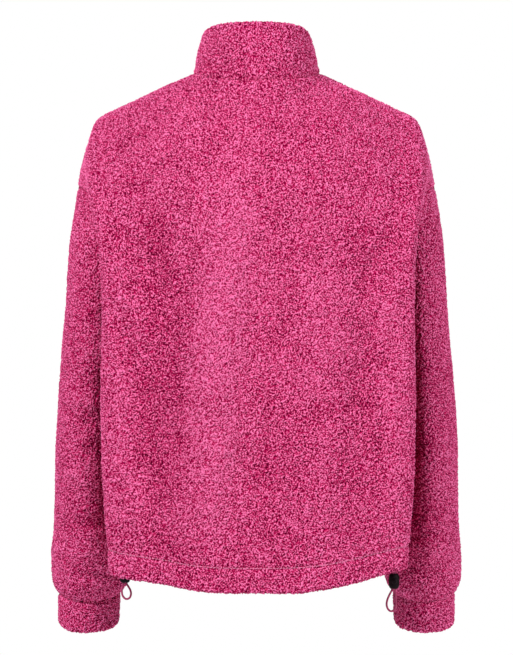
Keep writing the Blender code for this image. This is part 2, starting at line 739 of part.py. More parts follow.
def add_zip_side(skins, collar, side, collection):
    """One side of the zip: a tape behind the front's edge, and a chain of teeth along the tape."""
    hand = "right" if side > 0 else "left"
    line = zip_line(skins, collar, side)
    tape_front = []
    tape_rear = []
    chain_front = []
    chain_rear = []
    for (edge, facing), (_, along) in zip(zip_profile(line), line):
        near = edge - facing * SEAM_GAP * MM
        bead = near.copy()
        bead.x = side * (TEETH_HALF_WIDTH + SEAM_GAP) * MM
        far = near + along * TAPE_UNDER * MM
        tape_front.append([bead, near, far])
        tape_rear.append([p - facing * TAPE_THICKNESS * MM for p in (bead, near, far)])
        middle = near - facing * TAPE_THICKNESS * MM / 2
        ends = (side * SEAM_GAP * MM / 2, side * TEETH_HALF_WIDTH * MM)
        for grid, way in ((chain_front, 1), (chain_rear, -1)):
            centre = middle + facing * way * TEETH_THICKNESS * MM / 2
            grid.append([Vector((x, centre.y, centre.z)) for x in ends])
    wall("zip_tape_" + hand, tape_front, tape_rear, ("tape", 0.8, 0.0), collection)
    first, last = ZIP_BOX_ROWS, -ZIP_TOP_ROWS
    wall("zip_chain_" + hand, chain_front[first:last], chain_rear[first:last], ("tape", 0.4, 0.0), collection)
    return chain_front[first:last], chain_rear[first:last]


def box_mesh(name, low, high):
    """A box between two corners, in metres."""
    shape = bmesh.new()
    bmesh.ops.create_cube(shape, size=1.0)
    size = high - low
    bmesh.ops.scale(shape, vec=size, verts=shape.verts)
    bmesh.ops.translate(shape, vec=(low + high) / 2, verts=shape.verts)
    mesh = bpy.data.meshes.new(name)
    shape.to_mesh(mesh)
    shape.free()
    return mesh


def flat_outline(name, outlines, thickness, collection):
    """A flat piece with straight-edged outlines, the first its edge and the others its holes."""
    curve = bpy.data.curves.new(name, "CURVE")
    curve.dimensions = "2D"
    curve.fill_mode = "BOTH"
    curve.extrude = thickness * MM / 2
    for outline in outlines:
        spline = curve.splines.new("POLY")
        spline.points.add(len(outline) - 1)
        for point, (x, y) in zip(spline.points, outline):
            point.co = (x * MM, y * MM, 0, 1)
        spline.use_cyclic_u = True
    thing = bpy.data.objects.new(name, curve)
    collection.objects.link(thing)
    return thing


def mesh_of_curve(thing, turn, collection):
    """Replaces a curve object by a mesh of it, turned."""
    evaluated = thing.evaluated_get(bpy.context.evaluated_depsgraph_get())
    mesh = bpy.data.meshes.new_from_object(evaluated)
    name = thing.name
    curve = thing.data
    bpy.data.objects.remove(thing)
    bpy.data.curves.remove(curve)
    shape = bmesh.new()
    shape.from_mesh(mesh)
    bmesh.ops.remove_doubles(shape, verts=shape.verts, dist=MERGE)
    bmesh.ops.transform(shape, matrix=turn, verts=shape.verts)
    bmesh.ops.recalc_face_normals(shape, faces=shape.faces)
    shape.to_mesh(mesh)
    shape.free()
    mesh.name = name
    made = bpy.data.objects.new(name, mesh)
    collection.objects.link(made)
    return made


def rounded_box_outline(low_x, low_y, high_x, high_y, cut):
    """A rectangle with its corners cut off."""
    return (
        (low_x + cut, low_y), (high_x - cut, low_y), (high_x, low_y + cut), (high_x, high_y - cut),
        (high_x - cut, high_y), (low_x + cut, high_y), (low_x, high_y - cut), (low_x, low_y + cut),
    )


def zip_end(chains):
    """Where the teeth end at the top: a matrix with Y facing out of the jacket and Z along the zip."""
    (front, rear), _ = chains
    tops = [(front[k][0] + rear[k][0]) / 2 for k in (-2, -1)]
    along = tops[1] - tops[0]
    along.x = 0
    along.normalize()
    facing = along.cross(Vector((1, 0, 0))).normalized()
    if facing.y < 0:
        facing = -facing
    place = Matrix((Vector((1, 0, 0)), facing, along)).transposed().to_4x4()
    place.translation = Vector((0, tops[1].y, tops[1].z))
    return place


def add_slider(place, collection, cutters):
    """The zip's slider: two plates joined by a wedge above the teeth, and an arch that holds the pull tab."""
    inside = TEETH_THICKNESS / 2 + SEAM_GAP
    outside = inside + SLIDER_PLATE
    top = outside + ARCH_INSIDE + ARCH_TOP
    web = (
        (-outside, SLIDER_HIGH), (-outside, WEDGE_LOW), (inside, WEDGE_LOW), (inside, ARCH_LOW),
        (top - ARCH_CORNER, ARCH_LOW), (top, ARCH_LOW + ARCH_CORNER), (top, ARCH_HIGH - ARCH_CORNER),
        (top - ARCH_CORNER, ARCH_HIGH), (outside, ARCH_HIGH), (outside, SLIDER_HIGH),
    )
    hole = (
        (outside, ARCH_LOW + ARCH_LEG), (outside, ARCH_HIGH - ARCH_LEG),
        (outside + ARCH_INSIDE, ARCH_HIGH - ARCH_LEG), (outside + ARCH_INSIDE, ARCH_LOW + ARCH_LEG),
    )
    outline = flat_outline("zip_slider", (web, hole), SLIDER_WEB, collection)
    # The outline's x is the way out and its y the way up the zip.
    turn = Matrix(((0, 0, 1), (1, 0, 0), (0, 1, 0))).to_4x4()
    slider = mesh_of_curve(outline, turn, collection)
    half = SLIDER_WIDTH / 2
    for name, low_y, high_y in (("slider_front", inside, outside), ("slider_rear", -outside, -inside)):
        low = vec((-half, low_y, SLIDER_LOW))
        high = vec((half, high_y, SLIDER_HIGH))
        plate = bpy.data.objects.new(name, box_mesh(name, low, high))
        cutters.objects.link(plate)
        plate.hide_render = True
        plate.display_type = "WIRE"
        plate.matrix_world = place
        join = slider.modifiers.new(name, "BOOLEAN")
        join.operation = "UNION"
        join.object = plate
    slider.matrix_world = place
    slider.data.materials.append(material("zip_slider_finish", COLOURS["metal"], 0.3, 1.0))


def add_pull_tab(place, collection):
    """The tab that hangs from the slider's arch. Its origin is on the axis that it swings about."""
    half = TAB_WIDTH / 2
    bar = TAB_THICKNESS / 2
    edge = rounded_box_outline(-half, -TAB_REACH, half, bar, TAB_CORNER)
    window = TAB_WINDOW / 2
    hole = ((-window, -TAB_WINDOW_REACH), (-window, -bar), (window, -bar), (window, -TAB_WINDOW_REACH))
    outline = flat_outline("zip_pull", (edge, hole), TAB_THICKNESS, collection)
    turn = Matrix.Rotation(math.radians(90), 4, "X")
    tab = mesh_of_curve(outline, turn, collection)
    tab.data.materials.append(material("zip_pull_finish", COLOURS["metal"], 0.3, 1.0))
    out = TEETH_THICKNESS / 2 + SEAM_GAP + SLIDER_PLATE + ARCH_INSIDE / 2
    tab.matrix_world = place @ Matrix.Translation(vec((0, out, TAB_AXIS_DOWN)))


def add_zip_box(chains, collection):
    """The box that joins the two sides at the foot of the zip."""
    (front, rear), _ = chains
    foot = (front[0][0] + rear[0][0]) / 2
    reach = TEETH_THICKNESS / 2 + ZIP_BOX_STANDS
    low = Vector((-TEETH_HALF_WIDTH * MM, foot.y - reach * MM, foot.z - ZIP_BOX_HEIGHT * MM))
    high = Vector((TEETH_HALF_WIDTH * MM, foot.y + reach * MM, foot.z - SEAM_GAP * MM))
    mesh = box_mesh("zip_box", low, high)
    add_object("zip_box", mesh, ("metal", 0.35, 1.0), collection)


def hem_exit(skins, hand):
    """Where the drawcord leaves the hem on one side, in the middle of the hem's wall."""
    outer, inner = (grid[0] for grid in skins["back"])
    rim = [(a + b) / 2 for a, b in zip(outer, inner)]
    side = rim[len(rim) // 2 :] if hand == "right" else rim[len(rim) // 2 :: -1]
    level = CORD_EXIT_Y[hand] * MM
    start = COLUMNS_TO_NECK + COLUMNS_TO_CORNER + COLUMNS_ROUND - 1
    for low, high in zip(side[start:], side[start + 1 :]):
        if low.y <= level <= high.y:
            return low.lerp(high, (level - low.y) / (high.y - low.y))
    return side[-1]


def cord_points(hole, hand):
    """The points of a cord: a smooth curve through its route."""
    route = [hole + vec((x, 0, z)) for x, z in CORD_ROUTES[hand]]
    stations = [0.0]
    for low, high in zip(route, route[1:]):
        stations.append(stations[-1] + (high - low).length)
    count = CORD_STEPS * (len(route) - 1)
    return [smooth(stations, route, stations[-1] * k / count) for k in range(count + 1)]


def add_cord(hole, hand, collection):
    points = cord_points(hole, hand)
    name = "cord_" + hand
    curve = bpy.data.curves.new(name, "CURVE")
    curve.dimensions = "3D"
    curve.bevel_depth = CORD_DIAMETER * MM / 2
    curve.bevel_resolution = 2
    curve.use_fill_caps = True
    spline = curve.splines.new("POLY")
    spline.points.add(len(points) - 1)
    for target, point in zip(spline.points, points):
        target.co = (*point, 1)
    thing = bpy.data.objects.new(name, curve)
    collection.objects.link(thing)
    curve.materials.append(material(name + "_finish", COLOURS["cord"], 0.7))


def add_lock(hole, hand, collection):
    """The barrel on the drawcord that grips it, and the button that frees it."""
    name = "cord_lock_" + hand
    top = -LOCK_BELOW_HEM[hand]
    shape = bmesh.new()
    outline = [(radius, top - share * LOCK_HEIGHT) for share, radius in LOCK_PROFILE]
    outline += [(LOCK_BORE / 2, top - LOCK_HEIGHT), (LOCK_BORE / 2, top)]
    verts = [shape.verts.new(vec((x, 0, z))) for x, z in outline]
    for low, high in zip(verts, verts[1:] + verts[:1]):
        shape.edges.new((low, high))
    mesh = bpy.data.meshes.new(name)
    shape.to_mesh(mesh)
    shape.free()
    barrel = add_object(name, mesh, ("plastic", 0.4, 0.0), collection)
    turn = barrel.modifiers.new("turn", "SCREW")
    turn.steps = LOCK_STEPS
    turn.render_steps = LOCK_STEPS
    turn.use_merge_vertices = True
    turn.merge_threshold = MERGE
    barrel.location = hole
    shape = bmesh.new()
    bmesh.ops.create_cone(
        shape, cap_ends=True, segments=LOCK_STEPS, radius1=BUTTON_DIAMETER * MM / 2,
        radius2=(BUTTON_DIAMETER / 2 - BUTTON_TAPER) * MM, depth=BUTTON_STANDS * MM,
    )
    mesh = bpy.data.meshes.new("cord_button_" + hand)
    shape.to_mesh(mesh)
    shape.free()
    button = add_object("cord_button_" + hand, mesh, ("plastic", 0.4, 0.0), collection)
    widest = max(radius for _, radius in LOCK_PROFILE)
    out = widest + SEAM_GAP + BUTTON_STANDS / 2
    button.rotation_euler = (math.radians(90), 0, 0)
    button.location = hole + vec((0, -out, top - LOCK_HEIGHT / 2))


def build():
    for thing in list(bpy.data.objects):
        bpy.data.objects.remove(thing, do_unlink=True)
    jacket = bpy.data.collections.new("sherpa_jacket")
    cutters = bpy.data.collections.new("joined_into_slider")
    for collection in (jacket, cutters):
        bpy.context.scene.collection.children.link(collection)

    skins = body_skins()
    for side, name in ((1, "sleeve_right"), (-1, "sleeve_left")):
        add_sleeve(skins, side, name, jacket)
    for side, name in ((1, "cuff_right"), (-1, "cuff_left")):
        add_cuff(side, name, jacket)
    collar = add_collar(jacket)
    chains = [add_zip_side(skins, collar, side, jacket) for side in (1, -1)]
    place = zip_end(chains)
    add_slider(place, jacket, cutters)
    add_pull_tab(place, jacket)
    add_zip_box(chains, jacket)
    for hand in ("left", "right"):
        hole = hem_exit(skins, hand)
        add_cord(hole, hand, jacket)
        add_lock(hole, hand, jacket)
    for name, (outer, inner) in skins.items():
        for grid in (outer, inner):
            pull_edge(grid, "top", SEAM_GAP / 2)
            if name != "front_left":
                pull_edge(grid, "first", SEAM_GAP / 2)
            if name != "front_right":
                pull_edge(grid, "last", SEAM_GAP / 2)
        wall(name, outer, inner, ("fleece", 0.95, 0.0), jacket)


build()
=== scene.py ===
"""Looks of the sherpa jacket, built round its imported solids.

Every cloth panel is two pieces: its knitted ground, a thin shell on the solid's form, and the curled pile
that stands on it. Lengths in the tables are millimetres, as a pattern cutter writes them, and turn to metres
where a mesh is made. +Z is up, the zip is at +Y, the back at -Y and the origin the nape seam's middle.
"""

import math
from collections import namedtuple

import bmesh
import bpy
import numpy as np
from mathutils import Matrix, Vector


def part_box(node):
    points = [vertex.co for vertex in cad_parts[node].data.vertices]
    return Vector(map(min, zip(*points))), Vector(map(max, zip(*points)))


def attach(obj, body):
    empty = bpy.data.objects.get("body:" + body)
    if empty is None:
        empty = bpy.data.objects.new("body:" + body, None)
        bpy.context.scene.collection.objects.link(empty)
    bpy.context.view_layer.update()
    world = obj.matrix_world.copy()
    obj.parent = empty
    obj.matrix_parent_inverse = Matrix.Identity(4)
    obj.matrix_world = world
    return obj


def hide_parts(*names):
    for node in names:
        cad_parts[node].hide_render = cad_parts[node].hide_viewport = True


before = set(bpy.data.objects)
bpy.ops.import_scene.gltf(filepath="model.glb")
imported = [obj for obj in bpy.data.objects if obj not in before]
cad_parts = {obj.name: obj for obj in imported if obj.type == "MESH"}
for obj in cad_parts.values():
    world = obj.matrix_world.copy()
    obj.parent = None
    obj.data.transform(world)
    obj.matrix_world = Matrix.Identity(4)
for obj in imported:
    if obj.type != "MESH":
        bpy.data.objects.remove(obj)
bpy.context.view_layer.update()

MM = 0.001
JACKET = "jacket"  # the body that all cloth rides on
SIDES = {"right": 1, "left": -1}  # the wearer's, and which way along X each lies

# How finely the surfaces are made
PILE_STEP = 1.7  # between the points of the pile
GROUND_EVERY = 6  # the ground has one point for this many of the pile's
FINE = 6  # columns of a key row to each column of the solid

# Cloth
WALL = 5.0  # ground and pile
HEM_WALL = 6.5
HEM_DEPTH = 30.0
PILE_DEPTH = 2.5  # from the tips of the curls to the gaps between them
PILE_LIFT = 1.6  # the highest tips stand this much proud of the solid
GROUND_OUT = 2.7  # depth of the ground's outer face
GROUND_THIN = 0.5  # its thickness where pile covers both of its faces
SEAM_SINK = 1.7  # how far a seam pulls the pile in
SEAM_REACH = 5.0  # and how far from the seam the pile stands up again
# The painted fold shading goes no paler than on a ridge this high, and no darker than in a trough this deep.
PAINTED_RIDGE_LIMIT = 6.5
PAINTED_TROUGH_LIMIT = {"back": 2.5, "front": 2.5, "sleeve": 14.0}
STITCH_SINK = 0.7
STITCH_REACH = 2.6
STITCH_HOLD = 0.5  # share of the pile that a line of stitching holds down
CUFF_SEAM_PULL = 0.45  # the pile mostly hides the cuff seams
SEAM_TUCK = 4.0  # how far a seam's edges run in between the two cloths
TURNED_PILE = 20.0  # how far the pile shows on the inside of a turned edge
GROUND_SHORT = 3.0  # how far the ground stays back from a free edge

# Body: the cut of the solids
BACK_LENGTH = 623.0
UNDERARM_Z = -235.0
BODY_RUN = BACK_LENGTH + UNDERARM_Z
SHOULDER_TIP = (224.0, 15.0, -127.0)
SHOULDER_POINT = (200.0, 12.0, -40.0)
SHOULDER_ROUND = 26.0
SHOULDER_KNEE = (219.0, 14.5, -90.0)
NECK_HALF_WIDTH = 80.0
NECK_BACK_Y = -72.0
NECK_FRONT_Y = 78.0
NECK_SIDE_Z = 14.5
NECK_FRONT_Z = -52.0
COLLAR_BACK_HEIGHT = 71.0
COLLAR_FRONT_HEIGHT = 60.0
COLLAR_LEAN = 9.0
COLLAR_BULGE = 2.0  # how far its middle swells out
COLLAR_FLARE = 4.0  # how far its foot turns out over the shoulders
COLLAR_FLARE_SHARE = 0.2  # and the share of its height that this takes
COLLAR_DROP_POWER = 2.1
NECK_MIDDLE = (0.0, 3.0, -60.0)
ARMHOLE_MIDDLE = (190.0, 20.0, -170.0)

COLUMNS_TO_NECK = 6 * FINE
COLUMNS_TO_CORNER = 4 * FINE
COLUMNS_ROUND = 5 * FINE
COLUMNS_TO_SIDE = 4 * FINE
NECK_COLUMN_X = {"back": 82.0, "front": 80.0}
PINCH_SHARE = {"back": 0.45, "front": 0.55}

Section = namedtuple(
    "Section", "rise back_y corner_x corner_y corner_r pinch_x side_x side_y chest_x chest_y chest_r front_y"
)
SECTIONS = (
    Section(0, -116, 190, -88, 10, 154, 150, 10, 150, 98, 38, 108),
    Section(HEM_DEPTH, -117, 192, -90, 10, 153, 149, 10, 149, 100, 38, 110),
    Section(110, -120, 199, -94, 10, 149, 144, 11, 145, 106, 38, 117),
    Section(210, -123, 202, -97, 10, 147, 142, 12, 142, 110, 38, 123),
    Section(310, -124, 200, -99, 10, 149, 145, 14, 144, 112, 38, 127),
    Section(BODY_RUN, -123, 200, -98, 10, 155, 153, 18, 150, 110, 35, 128),
)
Level = namedtuple("Level", "centre neck corner side")
HEM_BACK = Level(-BACK_LENGTH, -619.0, -594.0, -597.0)
HEM_FRONT = Level(-609.0, -609.0, -604.0, -597.0)
Narrowing = namedtuple("Narrowing", "start_z full_z share")
LEFT_NARROW_BELOW = Narrowing(-150.0, -270.0, 0.025)
Drop = namedtuple("Drop", "from_x over_x from_y over_y from_z over_z depth")
LEFT_DROP = Drop(110.0, 60.0, -62.0, 22.0, -530.0, 60.0, 8.0)

Upper = namedtuple("Upper", "centre neck corner corner_r pinch end")
UPPER_BACK = (
    Upper((0, -123, -185), (82, -121, -183), (206, -90, -190), 12, (172, -54, -195), (170, -30, -196)),
    Upper((0, -118, -128), (82, -114, -124), (209, -66, -134), 13, (202, -52, -145), (194, -43, -150)),
    Upper((0, -103, -68), (92, -84, -55), (208, -32, -82), 26, (213, -27, -108), (215, -21, -132)),
    Upper((0, -87, -30), (104, -36, -14), (202, -9, -50), 28, (216, -5, -96), (221, -3, -128)),
)
UPPER_FRONT = (
    Upper((0, 128, -188), (80, 124, -188), (164, 106, -192), 30, (172, 80, -198), (170, 64, -200)),
    Upper((0, 123, -142), (80, 116, -136), (190, 98, -146), 20, (196, 88, -151), (196, 82, -155)),
    Upper((0, 112, -104), (94, 88, -70), (207, 56, -86), 26, (213, 59, -112), (215, 57, -133)),
    Upper((0, 97, -78), (105, 41, -18), (202, 33, -52), 28, (216, 37, -98), (221, 35, -128)),
)
UPPER_RISE = (50.0, 110.0, 175.0, 222.0, 262.0)  # of each upper section and of the top, from the underarm

# Sleeves and cuffs: the cut of the solids
Ring = namedtuple("Ring", "z centre_x centre_y half_width half_depth slope_x slope_y")
SLEEVE_RINGS = (
    Ring(-236, 196, 19, 38.5, 58, 0.80, 0.00),
    Ring(-290, 198, 22, 41.0, 62, 0.32, 0.02),
    Ring(-350, 201, 27, 44.5, 64, 0.08, 0.05),
    Ring(-420, 204.3, 36, 47.3, 64, 0.00, 0.10),
    Ring(-500, 207.3, 52, 47.8, 61, 0.00, 0.18),
    Ring(-560, 210.5, 67, 47.5, 57, 0.00, 0.22),
    Ring(-600, 213, 77, 48.5, 53, 0.00, 0.25),
    Ring(-626, 214, 83, 47.0, 47, 0.00, 0.25),
    Ring(-642, 215, 87, 38.5, 38, 0.00, 0.25),
)
SLEEVE_GIRTH = 330.0  # most of its length, for the number of columns
SEAM_GAP = 0.3
CUFF_HEIGHT = 43.0
CUFF_TILT = math.radians(14.0)
CUFF_SPREAD = 0.03
CUFF_DOWN = (0.0, 5.0, CUFF_HEIGHT / 2, CUFF_HEIGHT - 5.0, CUFF_HEIGHT)  # below its seam
CUFF_GROW = (-0.4, 0.6, 0.2, -0.4, -2.2)  # and how much wider than its ring it is there

def table(kind, groups):
    """Records of one kind from rows of numbers, grouped by their first entry."""
    return [kind(first, *row) for first, rows in groups.items() for row in rows]


# Large folds, as in the solids, and then smaller ones that only the cloth here has
Fold = namedtuple("Fold", "panel top_x top_z foot_x foot_z width height")
FOLDS = table(Fold, {
    "back": (
        (-18, -100, -78, -520, 34, 6.0), (-112, -160, -134, -260, 20, -5.0),
        (-124, -300, -122, -560, 20, -6.0), (60, -180, 100, -420, 36, 4.0),
        (128, -250, 120, -540, 22, -4.5),
    ),
    "front": (
        (-70, -150, -60, -470, 34, 5.0), (72, -160, 50, -500, 34, 5.0),
        (-112, -260, -104, -560, 20, -4.0), (108, -240, 112, -560, 20, -4.5),
    ),
})
FOLD_FREE_Y = 15.0
FOLD_FREE_REACH = 30.0
FOLD_END = 0.08
FOLD_FADE = 60.0
SMALL_FOLD_TAPER = 0.7  # how bluntly a small fold ends

Crease = namedtuple("Crease", "side z angle reach width height")
CREASES = table(Crease, {
    -1: (
        (-372, 120, 80, 15, -4.0), (-418, 80, 70, 14, -3.0), (-548, 100, 100, 12, -3.5),
        (-586, 60, 110, 12, 2.5), (-604, 180, 90, 22, 7.0),
    ),
    1: (
        (-360, 100, 80, 15, -3.5), (-430, 60, 70, 14, -3.0), (-540, 90, 110, 13, -3.5),
        (-584, 80, 100, 12, 2.5),
    ),
})

# Small folds: soft troughs and ridges that only the cloth here has. bow: how far the middle is off straight.
SmallFold = namedtuple("SmallFold", "panel top_x top_z foot_x foot_z bow width height")
SMALL_FOLDS = table(SmallFold, {
    "back": (
        (-172, -176, -104, -286, 9, 11, -3.3), (-178, -214, -120, -330, -7, 9, 2.5),
        (-176, -262, -146, -402, 6, 10, -2.9), (-60, -112, -92, -262, -6, 13, 2.3),
        (-88, -330, -104, -470, 8, 12, -2.5), (-26, -396, -48, -560, -7, 12, 2.2),
        (14, -150, 36, -322, 10, 14, -2.3), (24, -372, 12, -548, -9, 12, -2.6),
        (70, -420, 84, -566, 6, 10, 2.3), (178, -178, 122, -278, -8, 12, -3.2),
        (172, -226, 134, -350, 6, 10, 2.6), (150, -380, 158, -520, -5, 10, -2.9),
        (112, -70, 160, -128, 5, 12, 2.0), (-100, -62, -158, -118, -5, 12, 1.9),
        (-150, -470, -138, -580, 4, 9, 2.3), (-168, -236, -154, -604, -5, 22, 4.2),
        (170, -242, 160, -598, 4, 20, 3.4), (-32, -96, -74, -590, 9, 25, 6.5),
        (-96, -190, -122, -590, 7, 21, -4.0),
    ),
    "front": (
        (150, -200, 96, -300, -7, 12, -3.2), (136, -262, 78, -372, 6, 11, 2.5),
        (34, -200, 46, -372, 6, 12, -2.3), (92, -420, 70, -566, -6, 11, -2.6),
        (26, -430, 34, -580, 5, 10, 2.0), (-148, -204, -92, -308, 8, 12, -3.3),
        (-130, -276, -82, -390, -6, 10, 2.3), (-36, -180, -52, -350, -7, 13, -2.3),
        (-88, -440, -74, -572, 6, 10, -2.6), (-28, -400, -36, -560, 4, 11, 2.2),
    ),
})
# tilt: how much lower, in millimetres, the fold is where its reach ends than in its middle
SmallCrease = namedtuple("SmallCrease", "side z angle reach tilt width height")
SMALL_CREASES = table(SmallCrease, {
    -1: (
        (-268, 96, 62, 26, 9, -2.6), (-318, 130, 58, -22, 8, 2.1), (-392, 64, 54, 14, 8, 2.3),
        (-446, 116, 60, -16, 9, -2.9), (-492, 76, 52, 18, 8, 2.3), (-524, 140, 50, 10, 7, -2.1),
        (-566, 92, 56, -12, 7, 2.3), (-618, 112, 70, 6, 7, -2.3), (-340, -80, 60, 20, 9, -2.6),
        (-440, -96, 62, -18, 9, -2.9), (-530, -70, 60, 14, 8, -2.6), (-596, -100, 64, 8, 7, -2.3),
    ),
    1: (
        (-262, 88, 60, -24, 9, -2.6), (-322, 128, 56, 20, 8, 2.1), (-398, 70, 56, -14, 9, 2.3),
        (-462, 110, 62, 16, 9, -2.9), (-508, 60, 52, -12, 8, 2.2), (-566, 96, 60, 12, 7, -2.3),
        (-614, 84, 70, -6, 7, -2.3), (-350, -92, 60, -18, 9, -2.6), (-452, -76, 60, 18, 9, -2.9),
        (-540, -96, 60, -14, 8, -2.6),
    ),
})

# Long troughs down the sleeves, where they turn in behind the body. Angles and spread are in degrees.
Tuck = namedtuple("Tuck", "side top_z foot_z top_angle foot_angle spread depth")
SEAM_FADE = 25.0  # how far from the armhole a sleeve's folds reach their full depth
TUCKS = table(Tuck, {
    -1: (
        (-228, -622, 132, 126, 27, 8.0), (-240, -580, -122, -128, 26, 7.0),
    ),
    1: (
        (-168, -616, 114, 112, 21, 17.0), (-246, -590, -126, -122, 28, 7.5),
    ),
})

# Zip
ZIP_HALF_GAP = 7.0
TEETH_HALF_WIDTH = 3.0
TAPE_THICKNESS = 0.9
TAPE_UNDER = 9.0
TAPE_UNDER_SHARES = (0.35, 0.7, 1)  # where the tape has points on its way in under the cloth
# The tape runs on behind its coil, which is sewn to its face: how far from the middle and how far back.
TAPE_BEHIND_COIL = ((0.3, 1.75), (1.6, 1.75), (2.7, 1.7), (3.1, 0.9))
TAPE_EVERY = 4  # rows of the cloth to each row of the tape
COIL_WIRE = 0.38  # radius of the nylon wire
COIL_CENTRE = 1.2  # centre front to the middle of a coil
COIL_HALF_WIDTH = 1.5  # wide enough for the turns of each coil to reach in between those of the other
COIL_HALF_DEPTH = 0.88
CORE_RADIUS = 0.46  # the cord that the coil is wound round
CORE_WIDER = 1.6  # how much wider than deep it is pressed
CORE_EVERY = 20  # points of the wire to each ring of the core
CORE_SIDES = 8
COIL_PITCH = 1.6
COIL_POINTS = 8  # to a turn
COIL_SIDES = 4
METAL_EDGE = 0.22

# Cord
CORD_DIAMETER = 2.5
CORD_POINTS = 120
CORD_HOLES = {"left": (-161.21, -57.0, -595.83), "right": (168.32, -62.0, -595.59)}
# across and below the hole, round through the lock and back
CORD_ROUTES = {
    "left": (
        (1.5, 1.0), (1.5, -7.0), (1.5, -14.0), (1.7, -20.5), (4.2, -25.0), (6.6, -29.5), (7.3, -34.5),
        (5.2, -39.0), (1.0, -40.0), (-2.6, -36.6), (-3.9, -31.5), (-3.4, -26.5), (-1.7, -21.0),
        (-1.5, -14.0), (-1.5, -7.0), (-1.5, 1.0),
    ),
    "right": (
        (-1.5, 1.0), (-1.5, -8.0), (-1.5, -15.0), (-1.5, -22.0), (-2.4, -28.4), (-5.6, -34.6), (-8.2, -41.0),
        (-9.0, -47.0), (-7.0, -52.6), (-3.0, -54.8), (0.8, -52.0), (2.3, -46.0), (2.0, -38.0), (1.6, -30.0),
        (1.5, -22.0), (1.5, -15.0), (1.5, -8.0), (1.5, 1.0),
    ),
}

# Cord locks: (height from the foot, radius), turned, with a grip of shallow rings round the middle
LOCK_HEIGHT = 18.5
LOCK_SHAPE = (
    (0.0, 3.9), (0.25, 4.5), (0.9, 5.25), (2.0, 5.85), (4.1, 6.4), (9.25, 6.75), (14.4, 6.45), (16.5, 5.9),
    (17.6, 5.25), (18.25, 4.5), (18.5, 3.9),
)
LOCK_STEPS = 44
LOCK_RINGS = (5.2, 13.3)  # where the grip starts and ends
LOCK_RING_PITCH = 1.35
LOCK_RING_DEPTH = 0.22
LOCK_BORE = ((18.35, 3.5), (17.9, 3.3), (9.25, 3.3), (0.6, 3.3), (0.15, 3.5))
LOCK_SIDES = 48
BUTTON_SHAPE = (
    (0.0, 3.0), (0.25, 3.0), (1.2, 2.9), (1.75, 2.7), (2.08, 2.25), (2.2, 1.5), (2.05, 0.9), (2.0, 0.4),
)

# Stitching of the hem
STITCH_LENGTH = 3.0
STITCH_PITCH = 4.0
STITCH_RADIUS = 0.42
STITCH_SIDES = 6
STITCH_ABOVE = 0.4  # how far the thread lies above the cloth's own outer face
STITCH_SHARES = (0.0, 0.12, 0.5, 0.88, 1.0)  # where along a stitch it has points
STITCH_TAPER = (0.35, 0.85, 1.0, 0.85, 0.35)  # and its thickness there, of the full one
STITCH_DIP = 0.35  # how far its ends go down into the cloth

# What each piece was cut to: width, length and area of the flat cut, in metres
Cut = namedtuple("Cut", "width length area")


# ---------------------------------------------------------------- curves and grids


def hermite(start, end, start_slope, end_slope, share):
    """A point part of the way along a smooth curve with the given slopes at its ends."""
    s2 = share * share
    s3 = s2 * share
    return (
        start * (2 * s3 - 3 * s2 + 1)
        + start_slope * (s3 - 2 * s2 + share)
        + end * (3 * s2 - 2 * s3)
        + end_slope * (s3 - s2)
    )


def smooth_rows(stations, rows, at):
    """Rows at other stations, on the smooth curves through the key rows."""
    stations = np.asarray(stations, float)
    at = np.asarray(at, float)
    last = len(stations) - 1
    low = np.maximum(np.arange(last + 1) - 1, 0)
    high = np.minimum(np.arange(last + 1) + 1, last)
    slopes = (rows[high] - rows[low]) / (stations[high] - stations[low])[:, None, None]
    k = np.clip(np.searchsorted(stations, at, side="left") - 1, 0, last - 1)
    run = (stations[k + 1] - stations[k])[:, None, None]
    share = ((at - stations[k])[:, None, None]) / run
    return hermite(rows[k], rows[k + 1], slopes[k] * run, slopes[k + 1] * run, share)


def run_along(line):
    """How far along a line each of its points lies."""
    return np.concatenate([[0], np.cumsum(np.linalg.norm(np.diff(line, axis=0), axis=1))])


def points_at(at, run, line):
    """The points of a line that lie that far along it."""
    return np.stack([np.interp(at, run, line[:, k]) for k in range(3)], axis=-1)


def all_round(count):
    """Angles of that many points spread evenly round a circle."""
    return np.arange(count) * 2 * math.pi / count


def unit(vectors):
    return vectors / np.maximum(np.linalg.norm(vectors, axis=-1, keepdims=True), 1e-9)


def smoothstep(low, high, value):
    share = np.clip((value - low) / (high - low), 0, 1)
    return share * share * (3 - 2 * share)


def arc_corner(corner, before, after, radius, steps):
    """Points round a corner between two straight runs, steps + 1 of them."""
    to_before = (before - corner).normalized()
    to_after = (after - corner).normalized()
    half_angle = to_before.angle(to_after) / 2
    reach = radius / math.tan(half_angle)
    middle = corner + (to_before + to_after).normalized() * (radius / math.sin(half_angle))
    first = corner + to_before * reach - middle
    final = corner + to_after * reach - middle
    turn = first.angle(final)
    points = []
    for k in range(steps + 1):
        share = k / steps
        points.append(
            middle + (first * math.sin((1 - share) * turn) + final * math.sin(share * turn)) / math.sin(turn)
        )
    return points


def curve_to_side(start, pinch, end):
    """The last stretch of a section, from its corner to the side seam."""
    shares = [k / COLUMNS_TO_SIDE for k in range(COLUMNS_TO_SIDE + 1)]
    return [start * (1 - s) ** 2 + pinch * 2 * s * (1 - s) + end * s**2 for s in shares]


